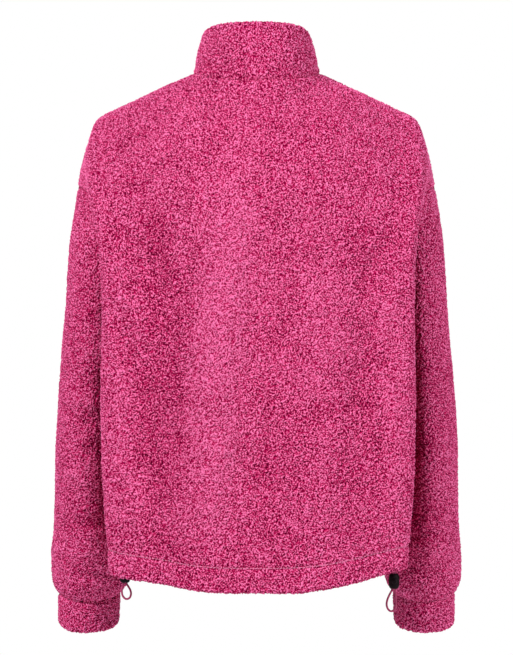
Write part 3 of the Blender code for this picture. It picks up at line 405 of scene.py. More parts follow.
def half_row(centre, neck, corner, radius, pinch, end):
    """Points of one section of half a panel, from its centre to its side."""
    centre, neck, corner, pinch, end = (Vector(p) for p in (centre, neck, corner, pinch, end))
    bend = arc_corner(corner, neck, pinch, radius, COLUMNS_ROUND)
    centre_slope = Vector((neck.x - centre.x, 0, 0))
    neck_slope = (bend[0] - centre) / 2
    into_bend = (corner - neck).normalized() * (bend[0] - neck).length
    points = [
        hermite(centre, neck, centre_slope, neck_slope, k / COLUMNS_TO_NECK) for k in range(COLUMNS_TO_NECK)
    ]
    points += [
        hermite(neck, bend[0], neck_slope, into_bend, k / COLUMNS_TO_CORNER) for k in range(COLUMNS_TO_CORNER)
    ]
    return points + bend[:-1] + curve_to_side(bend[-1], pinch, end)


def neckline(turn):
    """A point of the neck seam. turn: 0 at the nape, 1 at the centre front."""
    angle = turn * math.pi
    behind = turn < 0.5
    y = (NECK_BACK_Y if behind else NECK_FRONT_Y) * abs(math.cos(angle))
    drop = 0.0 if behind else NECK_FRONT_Z
    z = drop + (NECK_SIDE_Z - drop) * math.sin(angle) ** 3
    return Vector((NECK_HALF_WIDTH * math.sin(angle), y, z))


def top_row(front):
    """The top edge of half a panel: half the neck seam, then the shoulder seam."""
    shares = [k / COLUMNS_TO_NECK / 2 for k in range(COLUMNS_TO_NECK)]
    points = [neckline(1 - share if front else share) for share in shares]
    neck = neckline(0.5)
    knee = Vector(SHOULDER_KNEE)
    bend = arc_corner(Vector(SHOULDER_POINT), neck, knee, SHOULDER_ROUND, COLUMNS_ROUND)
    points += [neck.lerp(bend[0], k / COLUMNS_TO_CORNER) for k in range(COLUMNS_TO_CORNER)]
    return points + bend[:-1] + curve_to_side(bend[-1], knee, Vector(SHOULDER_TIP))


def key_rows(front):
    """All sections of half a panel, hem to shoulder, with the run of the skin up to each."""
    panel = "front" if front else "back"
    neck_x = NECK_COLUMN_X[panel]
    pinch_share = PINCH_SHARE[panel]
    stations = []
    rows = []
    for s in SECTIONS:
        share = s.rise / BODY_RUN
        hem = HEM_FRONT if front else HEM_BACK
        centre_z, neck_z, corner_z, side_z = (low + (UNDERARM_Z - low) * share for low in hem)
        if front:
            middle_y, neck_y = s.front_y, s.front_y - 2
            corner = (s.chest_x, s.chest_y, corner_z)
            radius = s.chest_r
            pinch = (s.side_x - 1, s.chest_y * pinch_share, side_z)
        else:
            middle_y, neck_y = s.back_y, s.back_y + 2
            corner = (s.corner_x, s.corner_y, corner_z)
            radius = s.corner_r
            pinch = (s.pinch_x, s.corner_y * pinch_share, side_z)
        centre = (0, middle_y, centre_z)
        neck = (neck_x, neck_y, neck_z)
        rows.append(half_row(centre, neck, corner, radius, pinch, (s.side_x, s.side_y, side_z)))
        stations.append(s.rise)
    for u, rise in zip(UPPER_FRONT if front else UPPER_BACK, UPPER_RISE):
        rows.append(half_row(u.centre, u.neck, u.corner, u.corner_r, u.pinch, u.end))
        stations.append(BODY_RUN + rise)
    rows.append(top_row(front))
    stations.append(BODY_RUN + UPPER_RISE[-1])
    return stations, np.array(rows)


def even_columns(rows, first, last):
    """Column numbers, with fractions, that are PILE_STEP apart on average."""
    gaps = np.linalg.norm(np.diff(rows[:, first : last + 1], axis=1), axis=2).mean(axis=0)
    along = np.concatenate([[0], np.cumsum(gaps)])
    count = round(along[-1] / PILE_STEP)
    return first + np.interp(np.linspace(0, along[-1], count + 1), along, np.arange(len(along)))


def at_columns(rows, at):
    """Each row's points at its own column numbers, with fractions."""
    low = np.minimum(at.astype(int), rows.shape[1] - 2)
    share = (at - low)[:, :, None]
    each = np.arange(len(rows))[:, None]
    return rows[each, low] * (1 - share) + rows[each, low + 1] * share


def side_line(front, heights):
    """The side seam and, above the underarm, the armhole's edge."""
    stations, rows = key_rows(front)
    underarm = len(SECTIONS) - 1
    below = smooth_rows(stations[: underarm + 1], rows[: underarm + 1, -1:], heights)
    above = smooth_rows(stations[underarm:], rows[underarm:, -1:], heights)
    return np.where((heights <= BODY_RUN)[:, None], below[:, 0], above[:, 0])


def half_skin(front):
    """The outer points of half a panel, on the right: rows of points, hem first."""
    stations, rows = key_rows(front)
    side = rows.shape[1] - 1
    to_neck = even_columns(rows, 0, COLUMNS_TO_NECK)
    columns = np.concatenate([to_neck, even_columns(rows, COLUMNS_TO_NECK, side)[1:]])
    at = np.repeat(columns[None], len(rows), axis=0)
    if front:
        # The front starts at the zip and not at the centre.
        for line, row in zip(at, rows):
            start = np.interp(ZIP_HALF_GAP, row[: COLUMNS_TO_NECK + 1, 0], np.arange(COLUMNS_TO_NECK + 1))
            near = line <= COLUMNS_TO_NECK
            line[near] = start + line[near] * (COLUMNS_TO_NECK - start) / COLUMNS_TO_NECK
    heights = body_heights()
    skin = smooth_rows(stations, at_columns(rows, at), heights)
    share = np.clip((columns - (side - FINE)) / FINE, 0, 1)
    return skin + share[None, :, None] * (side_line(front, heights) - skin[:, -1])[:, None]


def body_heights():
    run = BODY_RUN + UPPER_RISE[-1]
    return np.linspace(0, run, round(run / PILE_STEP) + 1)


def left_of(points):
    """The left half's points for those of the right half, a little narrower and lower as the jacket hangs."""
    narrow = LEFT_NARROW_BELOW
    x, y, z = np.moveaxis(points, -1, 0)
    fade = np.clip((narrow.start_z - z) / (narrow.start_z - narrow.full_z), 0, 1)
    over = np.clip((x - LEFT_DROP.from_x) / LEFT_DROP.over_x, 0, 1)
    behind = np.clip((LEFT_DROP.from_y - y) / LEFT_DROP.over_y, 0, 1)
    low = np.clip((LEFT_DROP.from_z - z) / LEFT_DROP.over_z, 0, 1)
    return np.stack([-x * (1 - narrow.share * fade), y, z - LEFT_DROP.depth * over * behind * low], axis=-1)


def grid_normals(grid, closed=False):
    """The outward normal at each point."""
    if closed:
        across = np.roll(grid, -1, axis=1) - np.roll(grid, 1, axis=1)
    else:
        across = np.gradient(grid, axis=1)
    return unit(np.cross(across, np.gradient(grid, axis=0)))


def fold_height(panel, points):
    """How far the folds of a panel push its points out."""
    total = np.zeros(points.shape[:2])
    for f in [f for f in FOLDS + SMALL_FOLDS if f.panel == panel]:
        top = np.array((f.top_x, f.top_z))
        run = np.array((f.foot_x, f.foot_z)) - top
        here = points[..., [0, 2]] - top
        share = np.clip(here @ run / (run @ run), 0, 1)
        line = run * share[..., None]
        if isinstance(f, SmallFold):
            line = line + unit(np.array((-run[1], run[0]))) * (4 * f.bow * share * (1 - share))[..., None]
        off = np.linalg.norm(here - line, axis=-1) / f.width
        ends = np.sin(math.pi * np.clip(share, FOLD_END, 1 - FOLD_END))
        if isinstance(f, SmallFold):
            ends = np.sin(math.pi * share) ** SMALL_FOLD_TAPER
        total += f.height * np.exp(-off * off) * ends
    from_side = np.abs(points[..., 1] - FOLD_FREE_Y)
    return total * np.clip((from_side - FOLD_FREE_REACH) / FOLD_FREE_REACH, 0, 1)


# ---------------------------------------------------------------- skins

# points and outward normals of a cloth's outer face, and how much of the pile stands at each point
Skin = namedtuple("Skin", "points normals pile")
Rim = namedtuple("Rim", "wall inside")


def full_skin(points, side=1, closed=False):
    """A skin whose pile all stands. side: -1 where the points run the other way round."""
    return Skin(points, grid_normals(points, closed) * side, np.ones(points.shape[:2]))


def from_edge(skin, edge):
    """How far each point of a skin is from one of its edges, in millimetres along the cloth."""
    rows, columns = skin.points.shape[:2]
    down = np.arange(rows)[:, None] * PILE_STEP
    over = np.arange(columns)[None] * PILE_STEP
    far = {"foot": down, "top": down[::-1], "first": over, "last": over[:, ::-1]}[edge]
    return np.broadcast_to(far, (rows, columns))


def sewn(skin, *edges, pull=1.0):
    """A skin whose pile is pulled in along the seams at these edges. pull: how much of it, from 0 to 1."""
    pile = skin.pile
    for edge in edges:
        pile = pile * (1 - pull + pull * smoothstep(0, SEAM_REACH, from_edge(skin, edge)))
    return skin._replace(pile=pile)


def from_foot(skin, edge, change):
    """Changes a skin as if one of its edges were its foot."""
    swap = edge in ("first", "last")
    step = -1 if edge in ("top", "last") else 1
    made = change(Skin(*((part.swapaxes(0, 1) if swap else part)[::step] for part in skin)))
    return Skin(*(part[::step].swapaxes(0, 1) if swap else part[::step] for part in made))


def turned(skin, edge, rim):
    """A skin with its edge turned round, and its pile carried on inside."""

    def turn(skin):
        points, normals, pile = skin
        radius = rim.wall / 2
        start = max(1, round(radius / PILE_STEP))
        normal = normals[start]
        away = unit(points[0] - points[start])
        away = unit(away - normal * (away * normal).sum(-1, keepdims=True))
        middle = points[start] - normal * radius
        steps = max(4, round(math.pi * radius / PILE_STEP))
        angles = [math.pi * k / steps for k in range(steps - 1, 0, -1)]
        arc_normals = np.array([normal * math.cos(a) + away * math.sin(a) for a in angles])
        arc = middle + arc_normals * radius
        inside = slice(start, start + 1 + round(rim.inside / PILE_STEP))
        back = (points[inside] - normals[inside] * rim.wall)[::-1]
        fade = np.ones((len(back) + len(arc), 1)) * pile[start]
        ends = min(len(fade), round(SEAM_REACH / PILE_STEP))
        fade[:ends] *= np.linspace(0, 1, ends)[:, None]
        return Skin(
            np.concatenate([back, arc, points[start:]]),
            np.concatenate([-normals[inside][::-1], arc_normals, normals[start:]]),
            np.concatenate([fade, pile[start:]]),
        )

    return from_foot(skin, edge, turn)


def tucked(skin, edge, towards):
    """A skin with one more row past a seam, that runs in between the two cloths and closes the seam."""

    def tuck(skin):
        line = skin.points[0]
        root = line + unit(towards(line) - line) * SEAM_TUCK
        added = Skin(root[None], np.zeros((1, *root.shape)), np.zeros((1, len(root))))
        return Skin(*(np.concatenate(pair) for pair in zip(added, skin)))

    return from_foot(skin, edge, tuck)


def under_top_seams(line):
    """The neck seam is tucked towards the middle of the neck, and the shoulder seams straight down."""
    at_neck = np.abs(line[:, :1]) <= NECK_HALF_WIDTH + 1
    return np.where(at_neck, np.array(NECK_MIDDLE), line - (0, 0, 100))


def under_side_seams(line):
    """The side seams are tucked straight in, and the armhole seams towards the armhole's own middle."""
    side = np.sign(line[:, :1])
    below = line[:, 2:] < UNDERARM_Z + 1
    armhole = side * (ARMHOLE_MIDDLE[0], 0, 0) + (0, *ARMHOLE_MIDDLE[1:])
    return np.where(below, line - side * (100, 0, 0), armhole)


def to_middle(line):
    """A sleeve's lower seam is tucked towards the middle of its ring."""
    return np.broadcast_to(line.mean(axis=0), line.shape)


def body_skins():
    """The skins of the back and the fronts, with their folds and the hem's stitching pushed in."""
    back_half = half_skin(front=False)
    front_half = half_skin(front=True)
    grids = {
        "back": np.concatenate([left_of(back_half[:, :0:-1]), back_half], axis=1),
        "front_right": front_half[:, ::-1],
        "front_left": left_of(front_half),
    }
    heights = body_heights()[:, None]
    fade = np.minimum(1, (heights[-1] - heights) / FOLD_FADE)
    stitch = np.exp(-(((heights - HEM_DEPTH) / STITCH_REACH) ** 2))
    skins = {}
    for name, grid in grids.items():
        normals = grid_normals(grid)
        lift = fold_height(name.split("_")[0], grid) * fade - STITCH_SINK * stitch
        points = grid + normals * lift[..., None]
        pile = np.broadcast_to(1 - STITCH_HOLD * stitch, grid.shape[:2]).copy()
        skins[name] = Skin(points, grid_normals(points), pile)
    return skins


def crease_height(side, z, angles):
    """How far a sleeve's folds push its points out."""
    total = np.zeros(z.shape)
    for c in [c for c in CREASES + SMALL_CREASES if c.side == side]:
        turn = (np.degrees(angles) - c.angle + 180) % 360 - 180
        round_share = np.cos(np.radians(90 * np.clip(turn / c.reach, -1, 1))) ** 2
        middle = c.z - c.tilt * turn / c.reach if isinstance(c, SmallCrease) else c.z
        total += c.height * round_share * np.exp(-(((z - middle) / c.width) ** 2))
    for t in [t for t in TUCKS if t.side == side]:
        down = np.clip((t.top_z - z) / (t.top_z - t.foot_z), 0, 1)
        middle = t.top_angle + (t.foot_angle - t.top_angle) * down
        turn = (np.degrees(angles) - middle + 180) % 360 - 180
        total -= t.depth * np.sqrt(np.sin(math.pi * down)) * np.exp(-((turn / t.spread) ** 2))
    return total


def ring_points(ring, side, angles, grow=0.0):
    off_x = np.cos(angles) * (ring.half_width + grow)
    off_y = -np.sin(angles) * (ring.half_depth + grow)
    z = ring.z + ring.slope_x * off_x + ring.slope_y * off_y
    return np.stack([side * (ring.centre_x + off_x), ring.centre_y + off_y, z], axis=-1)


def sleeve_skin(side):
    """A sleeve's skin, armhole first, tip column first and then round by the back."""
    half = round(SLEEVE_GIRTH / PILE_STEP / 2)
    angles = np.arange(2 * half) * math.pi / half
    heights = np.linspace(BODY_RUN + UPPER_RISE[-1], BODY_RUN, half + 1)
    edge = np.concatenate([side_line(False, heights), side_line(True, heights[-2:0:-1])])
    if side < 0:
        edge = left_of(edge)
    rings = [ring_points(ring, side, angles) for ring in SLEEVE_RINGS]
    inward = unit(edge.mean(axis=0) - edge)
    rings.insert(0, edge + unit(rings[0] - edge) * SEAM_GAP / 2 + inward * SEAM_GAP)
    rings = np.array(rings)
    gaps = np.linalg.norm(np.diff(rings, axis=0), axis=2).mean(axis=1)
    stations = np.concatenate([[0], np.cumsum(gaps)])
    rows = np.linspace(0, stations[-1], round(stations[-1] / PILE_STEP) + 1)
    points = smooth_rows(stations, rings, rows)
    normals = grid_normals(points, closed=True) * side
    from_armhole = np.minimum(1, rows / SEAM_FADE)[:, None]
    points = points + normals * (crease_height(side, points[..., 2], angles) * from_armhole)[..., None]
    return full_skin(points, side, closed=True)


def cuff_skin(side):
    """A cuff's skin, seam first: doubled cloth on the sleeve's own last ring."""
    seam = SLEEVE_RINGS[-1]
    count = 2 * round(math.pi * seam.half_width / PILE_STEP)
    angles = all_round(count)
    rows = []
    for down in np.linspace(0, CUFF_HEIGHT, round(CUFF_HEIGHT / PILE_STEP) + 1):
        ring = seam._replace(
            z=seam.z - down * math.cos(CUFF_TILT),
            centre_y=seam.centre_y + down * math.sin(CUFF_TILT),
            centre_x=seam.centre_x + down * CUFF_SPREAD,
        )
        rows.append(ring_points(ring, side, angles, np.interp(down, CUFF_DOWN, CUFF_GROW)))
    return full_skin(np.array(rows), side, closed=True)


def collar_skin():
    """The collar's skin, foot first, from the left front edge round by the nape to the right."""
    end = 1 - math.asin(ZIP_HALF_GAP / NECK_HALF_WIDTH) / math.pi
    girth = math.pi * (NECK_HALF_WIDTH + (NECK_FRONT_Y - NECK_BACK_Y) / 2)
    turns = np.linspace(-end, end, 2 * round(girth / PILE_STEP / 2) + 1)
    feet = np.array([neckline(abs(t)) for t in turns])
    feet[:, 0] *= np.sign(turns)
    out = unit(feet * (1, 1, 0))
    to_front = ((1 - np.cos(np.abs(turns) * math.pi)) / 2) ** COLLAR_DROP_POWER
    front_top = NECK_FRONT_Z + COLLAR_FRONT_HEIGHT
    top_z = COLLAR_BACK_HEIGHT + to_front * (front_top - COLLAR_BACK_HEIGHT)
    over_shoulder = np.sin(np.abs(turns) * math.pi) ** 2
    rows = []
    for share in np.linspace(0, 1, round(COLLAR_BACK_HEIGHT / PILE_STEP) + 1):
        flare = COLLAR_FLARE * over_shoulder * (1 - max(0.0, 1 - share / COLLAR_FLARE_SHARE) ** 2)
        bulge = COLLAR_BULGE * math.sin(math.pi * share)
        line = feet - out * (COLLAR_LEAN * share - bulge + flare)[:, None]
        line[:, 2] = feet[:, 2] + (top_z - feet[:, 2]) * share
        line[0, 0] = -ZIP_HALF_GAP
        line[-1, 0] = ZIP_HALF_GAP
        rows.append(line)
    return full_skin(np.array(rows))


# ---------------------------------------------------------------- meshes


def new_object(name, data, material=None):
    thing = bpy.data.objects.new(name, data)
    bpy.context.scene.collection.objects.link(thing)
    if material:
        data.materials.append(material)
    return thing


def add_piece(name, data, material, node=None):
    """A piece that rides on the jacket. node: the solid that it stands for."""
    piece = new_object(name, data, material)
    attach(piece, JACKET)
    if node:
        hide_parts(node)
    return piece


def grid_faces(rows, columns, closed, flip=False):
    """The four corners of each face of a grid of points."""
    r, c = np.meshgrid(np.arange(rows - 1), np.arange(columns if closed else columns - 1), indexing="ij")
    d = (c + 1) % columns
    low = r * columns
    high = low + columns
    faces = np.stack([low + c, low + d, high + d, high + c], axis=-1).reshape(-1, 4)
    return faces[:, ::-1] if flip else faces


def mesh_from(name, points, faces):
    """A smooth mesh from points in millimetres."""
    mesh = bpy.data.meshes.new(name)
    mesh.from_pydata((points * MM).tolist(), [], faces if isinstance(faces, list) else faces.tolist())
    mesh.shade_smooth()
    return mesh


def set_attribute(mesh, name, kind, values):
    field = "vector" if kind == "FLOAT_VECTOR" else "value"
    made = mesh.attributes.new(name, kind, "POINT")
    made.data.foreach_set(field, np.ascontiguousarray(values, np.float32).ravel())


def painted_fold_shading(name, points):
    """Painted light and shade at each point: the pile's colour is painted paler on the folds' ridges and
    darker in their troughs, as light falls on them.
    """
    piece, hand = name.split("_")[:2]
    if piece == "sleeve":
        angles = all_round(points.shape[1])
        heights = crease_height(SIDES[hand], points[..., 2], angles)
    elif piece in ("back", "front"):
        heights = fold_height(piece, points)
    else:
        heights = np.zeros(points.shape[:2])
    return np.clip(heights, -PAINTED_TROUGH_LIMIT.get(piece, 0), PAINTED_RIDGE_LIMIT)


def pile_piece(name, skin, closed=False, flip=False):
    """The pile of one piece of cloth, as a fine skin that the curls are then raised from."""
    rows, columns = skin.points.shape[:2]
    mesh = mesh_from(name, skin.points.reshape(-1, 3), grid_faces(rows, columns, closed, flip))
    # The fold heights go to the pile's colour as painted light and shade: ridges paler, troughs darker.
    set_attribute(mesh, "painted_fold_shading", "FLOAT", painted_fold_shading(name, skin.points))
    set_attribute(mesh, "facing", "FLOAT_VECTOR", skin.normals)
    set_attribute(mesh, "pile", "FLOAT", skin.pile)
    piece = add_piece(name, mesh, SHERPA_PILE)
    piece.modifiers.new("curls", "NODES").node_group = RAISE_CURLS
    return piece


def shell(name, outer, inner, closed=False, flip=False):
    """A closed mesh between two grids of points."""
    size = outer.shape[:2]
    count = size[0] * size[1]
    front = grid_faces(*size, closed, flip)
    number = np.arange(count).reshape(size)
    rims = [(number[0], False), (number[-1], True)]
    if not closed:
        rims += [(number[:, 0], True), (number[:, -1], False)]
    walls = []
    for line, reverse in rims:
        line = np.append(line, line[0]) if closed else line
        wall = np.stack([line[:-1], line[:-1] + count, line[1:] + count, line[1:]], axis=-1)
        walls.append(wall[:, ::-1] if reverse != flip else wall)
    faces = np.concatenate([front, front[:, ::-1] + count, *walls])
    return mesh_from(name, np.concatenate([outer, inner]).reshape(-1, 3), faces)


def thinned(count, closed, short):
    """Which of the pile's rows or columns the ground has. short: whether it stays back from each end."""
    if closed:
        return np.arange(0, count, GROUND_EVERY)
    back = round(GROUND_SHORT / PILE_STEP)
    first = back if short[0] else 0
    last = count - 1 - (back if short[1] else 0)
    return np.unique(np.linspace(first, last, max(3, round(count / GROUND_EVERY) + 1)).round().astype(int))


def ground_piece(name, skin, depths, short=(), closed=False, flip=False):
    """The knitted ground under the pile: a thin closed shell. depths: of its inner face, at each row.

    short: the edges that it stays back from.
    """
    rows = thinned(len(skin.points), False, ("foot" in short, "top" in short))
    columns = thinned(skin.points.shape[1], closed, ("first" in short, "last" in short))
    picked = np.ix_(rows, columns)
    points = skin.points[picked]
    normals = skin.normals[picked]
    inner = points - normals * np.asarray(depths)[rows][:, None, None]
    mesh = shell(name, points - normals * GROUND_OUT, inner, closed, flip)
    return add_piece(name, mesh, KNIT_GROUND)


def tube_points(line, radius, sides, reference):
    """The points of a tube round a line. reference: a direction that the line never takes."""
    along = unit(np.gradient(line, axis=0))
    over = unit(np.cross(along, reference))
    up = np.cross(over, along)
    angles = all_round(sides)
    ring = over[:, None] * np.cos(angles)[None, :, None] + up[:, None] * np.sin(angles)[None, :, None]
    return line[:, None] + ring * np.broadcast_to(radius, len(line))[:, None, None]


def capped_tube(points):
    """The faces of a tube, closed at both ends."""
    count, sides = points.shape[:2]
    faces = grid_faces(count, sides, True).tolist()
    faces.append(list(range(sides))[::-1])
    faces.append([(count - 1) * sides + k for k in range(sides)])
    return faces


def joined_tubes(name, tubes):
    """One mesh of several capped tubes."""
    points = []
    faces = []
    for tube in tubes:
        faces += [[corner + len(points) for corner in face] for face in capped_tube(tube)]
        points += tube.reshape(-1, 3).tolist()
    return mesh_from(name, np.array(points), faces)


def turned_shape(outline, sides, bore=()):
    """Points and faces turned about Z, foot first, from (height, radius). A bore makes it hollow."""
    angles = all_round(sides)
    height, radius = np.array((*outline, *bore), float).T
    across = np.stack([np.cos(angles), np.sin(angles), np.zeros(sides)], axis=-1)
    points = across[None] * radius[:, None, None] + np.array((0, 0, 1)) * height[:, None, None]
    faces = grid_faces(len(height), sides, True).tolist()
    last = (len(height) - 1) * sides
    if bore:
        faces += [[last + k, last + (k + 1) % sides, (k + 1) % sides, k] for k in range(sides)]
    else:
        faces += [list(range(sides))[::-1], [last + k for k in range(sides)]]
    return points.reshape(-1, 3), faces


# ---------------------------------------------------------------- nodes and materials


def linear(code):
    """A colour from its sRGB hex code."""
    parts = [int(code[k : k + 2], 16) / 255 for k in (1, 3, 5)]
    return [p / 12.92 if p <= 0.04045 else ((p + 0.055) / 1.055) ** 2.4 for p in parts] + [1.0]


def add_node(tree, kind, inputs=None, **settings):
    """Adds a node with its settings. Each input gets a value, a link or the first output of a node."""
    made = tree.nodes.new(kind)
    for name, value in settings.items():
        setattr(made, name, value)
    for key, value in (inputs or {}).items():
        if isinstance(value, bpy.types.Node):
            value = value.outputs[0]
        if isinstance(value, bpy.types.NodeSocket):
            tree.links.new(value, made.inputs[key])
        else:
            made.inputs[key].default_value = value
    return made


CURL = 1.7  # width of a curl, or of the gap beside it
CURL_WARP = 0.4  # how far the curls wander, as a share of that
CURL_WARP_SCALE = 0.6
GRAIN_AXIS = (0.48, 0.62, 0.62)  # the pattern is turned, so that no row of it lies along the cloth
GRAIN_TURN = 0.9
LOWEST = 0.28  # where in the noise the bottom of a gap and the tip of a curl lie
HIGHEST = 0.70
SWELL = 46.0  # across the slow rise and fall of a soft cloth
SWELL_DEPTH = 1.8


def curl_height(tree, place):
    """Nodes that give the height of the pile, 0 in the gaps and 1 on the tips, from a place on the cloth.

    The same nodes raise the mesh and colour it, so that the painted shade of the gaps lies where the mesh is
    low.
    """
    turn = {"Vector": place, "Axis": GRAIN_AXIS, "Angle": GRAIN_TURN}
    turned = add_node(tree, "ShaderNodeVectorRotate", turn)
    scaled = add_node(tree, "ShaderNodeVectorMath", {0: turned, 3: 1 / (CURL * MM)}, operation="SCALE")
    noise = add_node(tree, "ShaderNodeTexNoise", {"Vector": scaled, "Scale": CURL_WARP_SCALE, "Detail": 0.0})
    wander = {0: noise.outputs["Color"], 1: (0.5, 0.5, 0.5)}
    centred = add_node(tree, "ShaderNodeVectorMath", wander, operation="SUBTRACT")
    push = add_node(tree, "ShaderNodeVectorMath", {0: centred, 3: 2 * CURL_WARP}, operation="SCALE")
    warped = add_node(tree, "ShaderNodeVectorMath", {0: scaled, 1: push}, operation="ADD")
    curls = add_node(tree, "ShaderNodeTexNoise", {"Vector": warped, "Scale": 1.0, "Detail": 1.0})
    span = {"Value": curls.outputs["Fac"], "From Min": LOWEST, "From Max": HIGHEST}
    return add_node(tree, "ShaderNodeMapRange", span, interpolation_type="SMOOTHSTEP")


def raise_curls():
    """A node group that raises the curls, and keeps each point's place on the flat cloth for the colours."""
    tree = bpy.data.node_groups.new("raise_curls", "GeometryNodeTree")
    for way in ("INPUT", "OUTPUT"):
        tree.interface.new_socket("Geometry", in_out=way, socket_type="NodeSocketGeometry")
    start = add_node(tree, "NodeGroupInput")
    place = add_node(tree, "GeometryNodeInputPosition")
    kept = add_node(
        tree,
        "GeometryNodeStoreNamedAttribute",
        {"Geometry": start, "Name": "place", "Value": place},
        data_type="FLOAT_VECTOR",
        domain="POINT",
    )
    pile = add_node(tree, "GeometryNodeInputNamedAttribute", {"Name": "pile"}, data_type="FLOAT")
    named = {"Name": "facing"}
    facing = add_node(tree, "GeometryNodeInputNamedAttribute", named, data_type="FLOAT_VECTOR")
    slow = add_node(tree, "ShaderNodeTexNoise", {"Vector": place, "Scale": 1 / (SWELL * MM), "Detail": 0.0})
    about_nought = {0: slow.outputs["Fac"], 1: SWELL_DEPTH * MM, 2: -SWELL_DEPTH / 2 * MM}
    swell = add_node(tree, "ShaderNodeMath", about_nought, operation="MULTIPLY_ADD")
    stand = curl_height(tree, place)
    for operation, numbers in (
        ("SUBTRACT", {1: 1.0}),
        ("MULTIPLY", {1: PILE_DEPTH * MM}),
        ("ADD", {1: swell}),
        ("ADD", {1: (PILE_LIFT + SEAM_SINK) * MM}),
        ("MULTIPLY_ADD", {1: pile, 2: -SEAM_SINK * MM}),
    ):
        stand = add_node(tree, "ShaderNodeMath", {0: stand, **numbers}, operation=operation)
    offset = add_node(tree, "ShaderNodeVectorMath", {0: facing, 3: stand}, operation="SCALE")
    moved = add_node(tree, "GeometryNodeSetPosition", {"Geometry": kept, "Offset": offset})
    add_node(tree, "NodeGroupOutput", {0: moved})
    return tree


def new_material(name, **values):
    """A material with its shader's own values. Returns it, its node tree and its shader."""
    made = bpy.data.materials.new(name)
    made.use_nodes = True
    shader = made.node_tree.nodes["Principled BSDF"]
    for key, value in values.items():
        shader.inputs[key.replace("_", " ")].default_value = value
    return made, made.node_tree, shader


def dress(tree, shader, tone, stops, height, depth, strength):
    """Colours a shader by its tone and raises its surface by its height.

    stops: places from 0 to 1, each with a hex colour. depth: of the relief, in millimetres.
    """
    ramp = add_node(tree, "ShaderNodeValToRGB", {"Fac": tone})
    elements = ramp.color_ramp.elements
    while len(elements) < len(stops):
        elements.new(0.5)
    for element, (at, code) in zip(elements, stops):
        element.position = at
        element.color = linear(code)
    relief = {"Height": height, "Distance": depth * MM, "Strength": strength}
    bump = add_node(tree, "ShaderNodeBump", relief)
    tree.links.new(ramp.outputs["Color"], shader.inputs["Base Color"])
    tree.links.new(bump.outputs[0], shader.inputs["Normal"])


def patterned(name, pattern, stops, depth, strength, **values):
    """A material whose colour and relief follow one pattern. pattern: a function that adds its nodes."""
    material, tree, shader = new_material(name, **values)
    height = pattern(tree, add_node(tree, "ShaderNodeTexCoord").outputs["Object"])
    dress(tree, shader, height, stops, height, depth, strength)
    return material


# The gap colour is painted shade between the curls and the tip colour a painted highlight on them, round the
# pile's own pink in the middle.
PILE_GAP_SHADE = "#66002a"
PILE_MID = "#cc0459"
PILE_TIP_HIGHLIGHT = "#ff7cb6"
PILE_RELIEF = 2.0  # of the fibres, on top of the curls' real shape
PILE_RELIEF_STRENGTH = 0.8
FIBRE = 0.9  # across a tuft of fibres on a curl
PATCH = 34.0  # across the patches where the pile lies a little lighter or darker
FIBRE_TONE = 0.8  # how much paler a tuft is than the gap beside it, where a curl's whole height is 1
PATCH_TONE = 0.16
PAINTED_FOLD_TONE = 0.024  # painted light and shade: how much paler the pile is painted for each millimetre of a ridge's height, and darker for each of a trough's depth
DARKEST = 0.52  # the sum of a curl's height and these that is darkest
PALEST = 1.38
BLOOM_START = 0.2  # how far the cloth has turned away where the bloom begins
BLOOM_FULL = 0.8  # and where it is full
PILE_BLOOM = 0.3  # how strongly the fibres catch light there


def sherpa_pile():
    """Curled polyester pile, knitted and tumbled: matt curls whose gaps are painted darker as shade and whose
    tips are painted paler as a highlight.

    The loose fibres scatter light along the edges, which gives the faint bloom where the cloth turns away.
    """
    material, tree, shader = new_material(
        "sherpa_pile",
        Roughness=0.93,
        IOR=1.5,
        Specular_IOR_Level=0.05,
        Sheen_Roughness=0.4,
        Sheen_Tint=linear("#ff6ea9"),
    )
    place, painted_folds, cloth = (
        add_node(tree, "ShaderNodeAttribute", attribute_name=name) for name in ("place", "painted_fold_shading", "facing")
    )
    on_cloth = place.outputs["Vector"]
    fibres, patches = (
        add_node(tree, "ShaderNodeTexNoise", {"Vector": on_cloth, "Scale": 1 / (size * MM), "Detail": detail})
        for size, detail in ((FIBRE, 2.0), (PATCH, 0.0))
    )
    # Its tone takes the fibres, the random patches and the painted fold shading, which makes ridges paler and
    # troughs darker.
    tones = [curl_height(tree, on_cloth)]
    for node, weight in ((fibres, FIBRE_TONE), (patches, PATCH_TONE), (painted_folds, PAINTED_FOLD_TONE)):
        more = {0: node.outputs["Fac"], 1: weight, 2: tones[-1]}
        tones.append(add_node(tree, "ShaderNodeMath", more, operation="MULTIPLY_ADD"))
    curls_and_fibres = tones[1]
    tone = add_node(tree, "ShaderNodeMapRange", {"Value": tones[-1], "From Min": DARKEST, "From Max": PALEST})
    # The ramp runs from painted shade in the gaps to a painted highlight on the tips.
    stops = ((0.0, PILE_GAP_SHADE), (0.5, PILE_MID), (1.0, PILE_TIP_HIGHLIGHT))
    dress(tree, shader, tone, stops, curls_and_fibres, PILE_RELIEF, PILE_RELIEF_STRENGTH)
    edge_on = add_node(tree, "ShaderNodeLayerWeight", {"Blend": 0.5, "Normal": cloth.outputs["Vector"]})
    away = {"From Min": BLOOM_START, "From Max": BLOOM_FULL, "To Max": PILE_BLOOM}
    bloom = add_node(tree, "ShaderNodeMapRange", {"Value": edge_on.outputs["Facing"], **away})
    tree.links.new(bloom.outputs[0], shader.inputs["Sheen Weight"])
    return material


WAVE_PITCH = 0.32  # about what a wave texture of scale 1 has from band to band


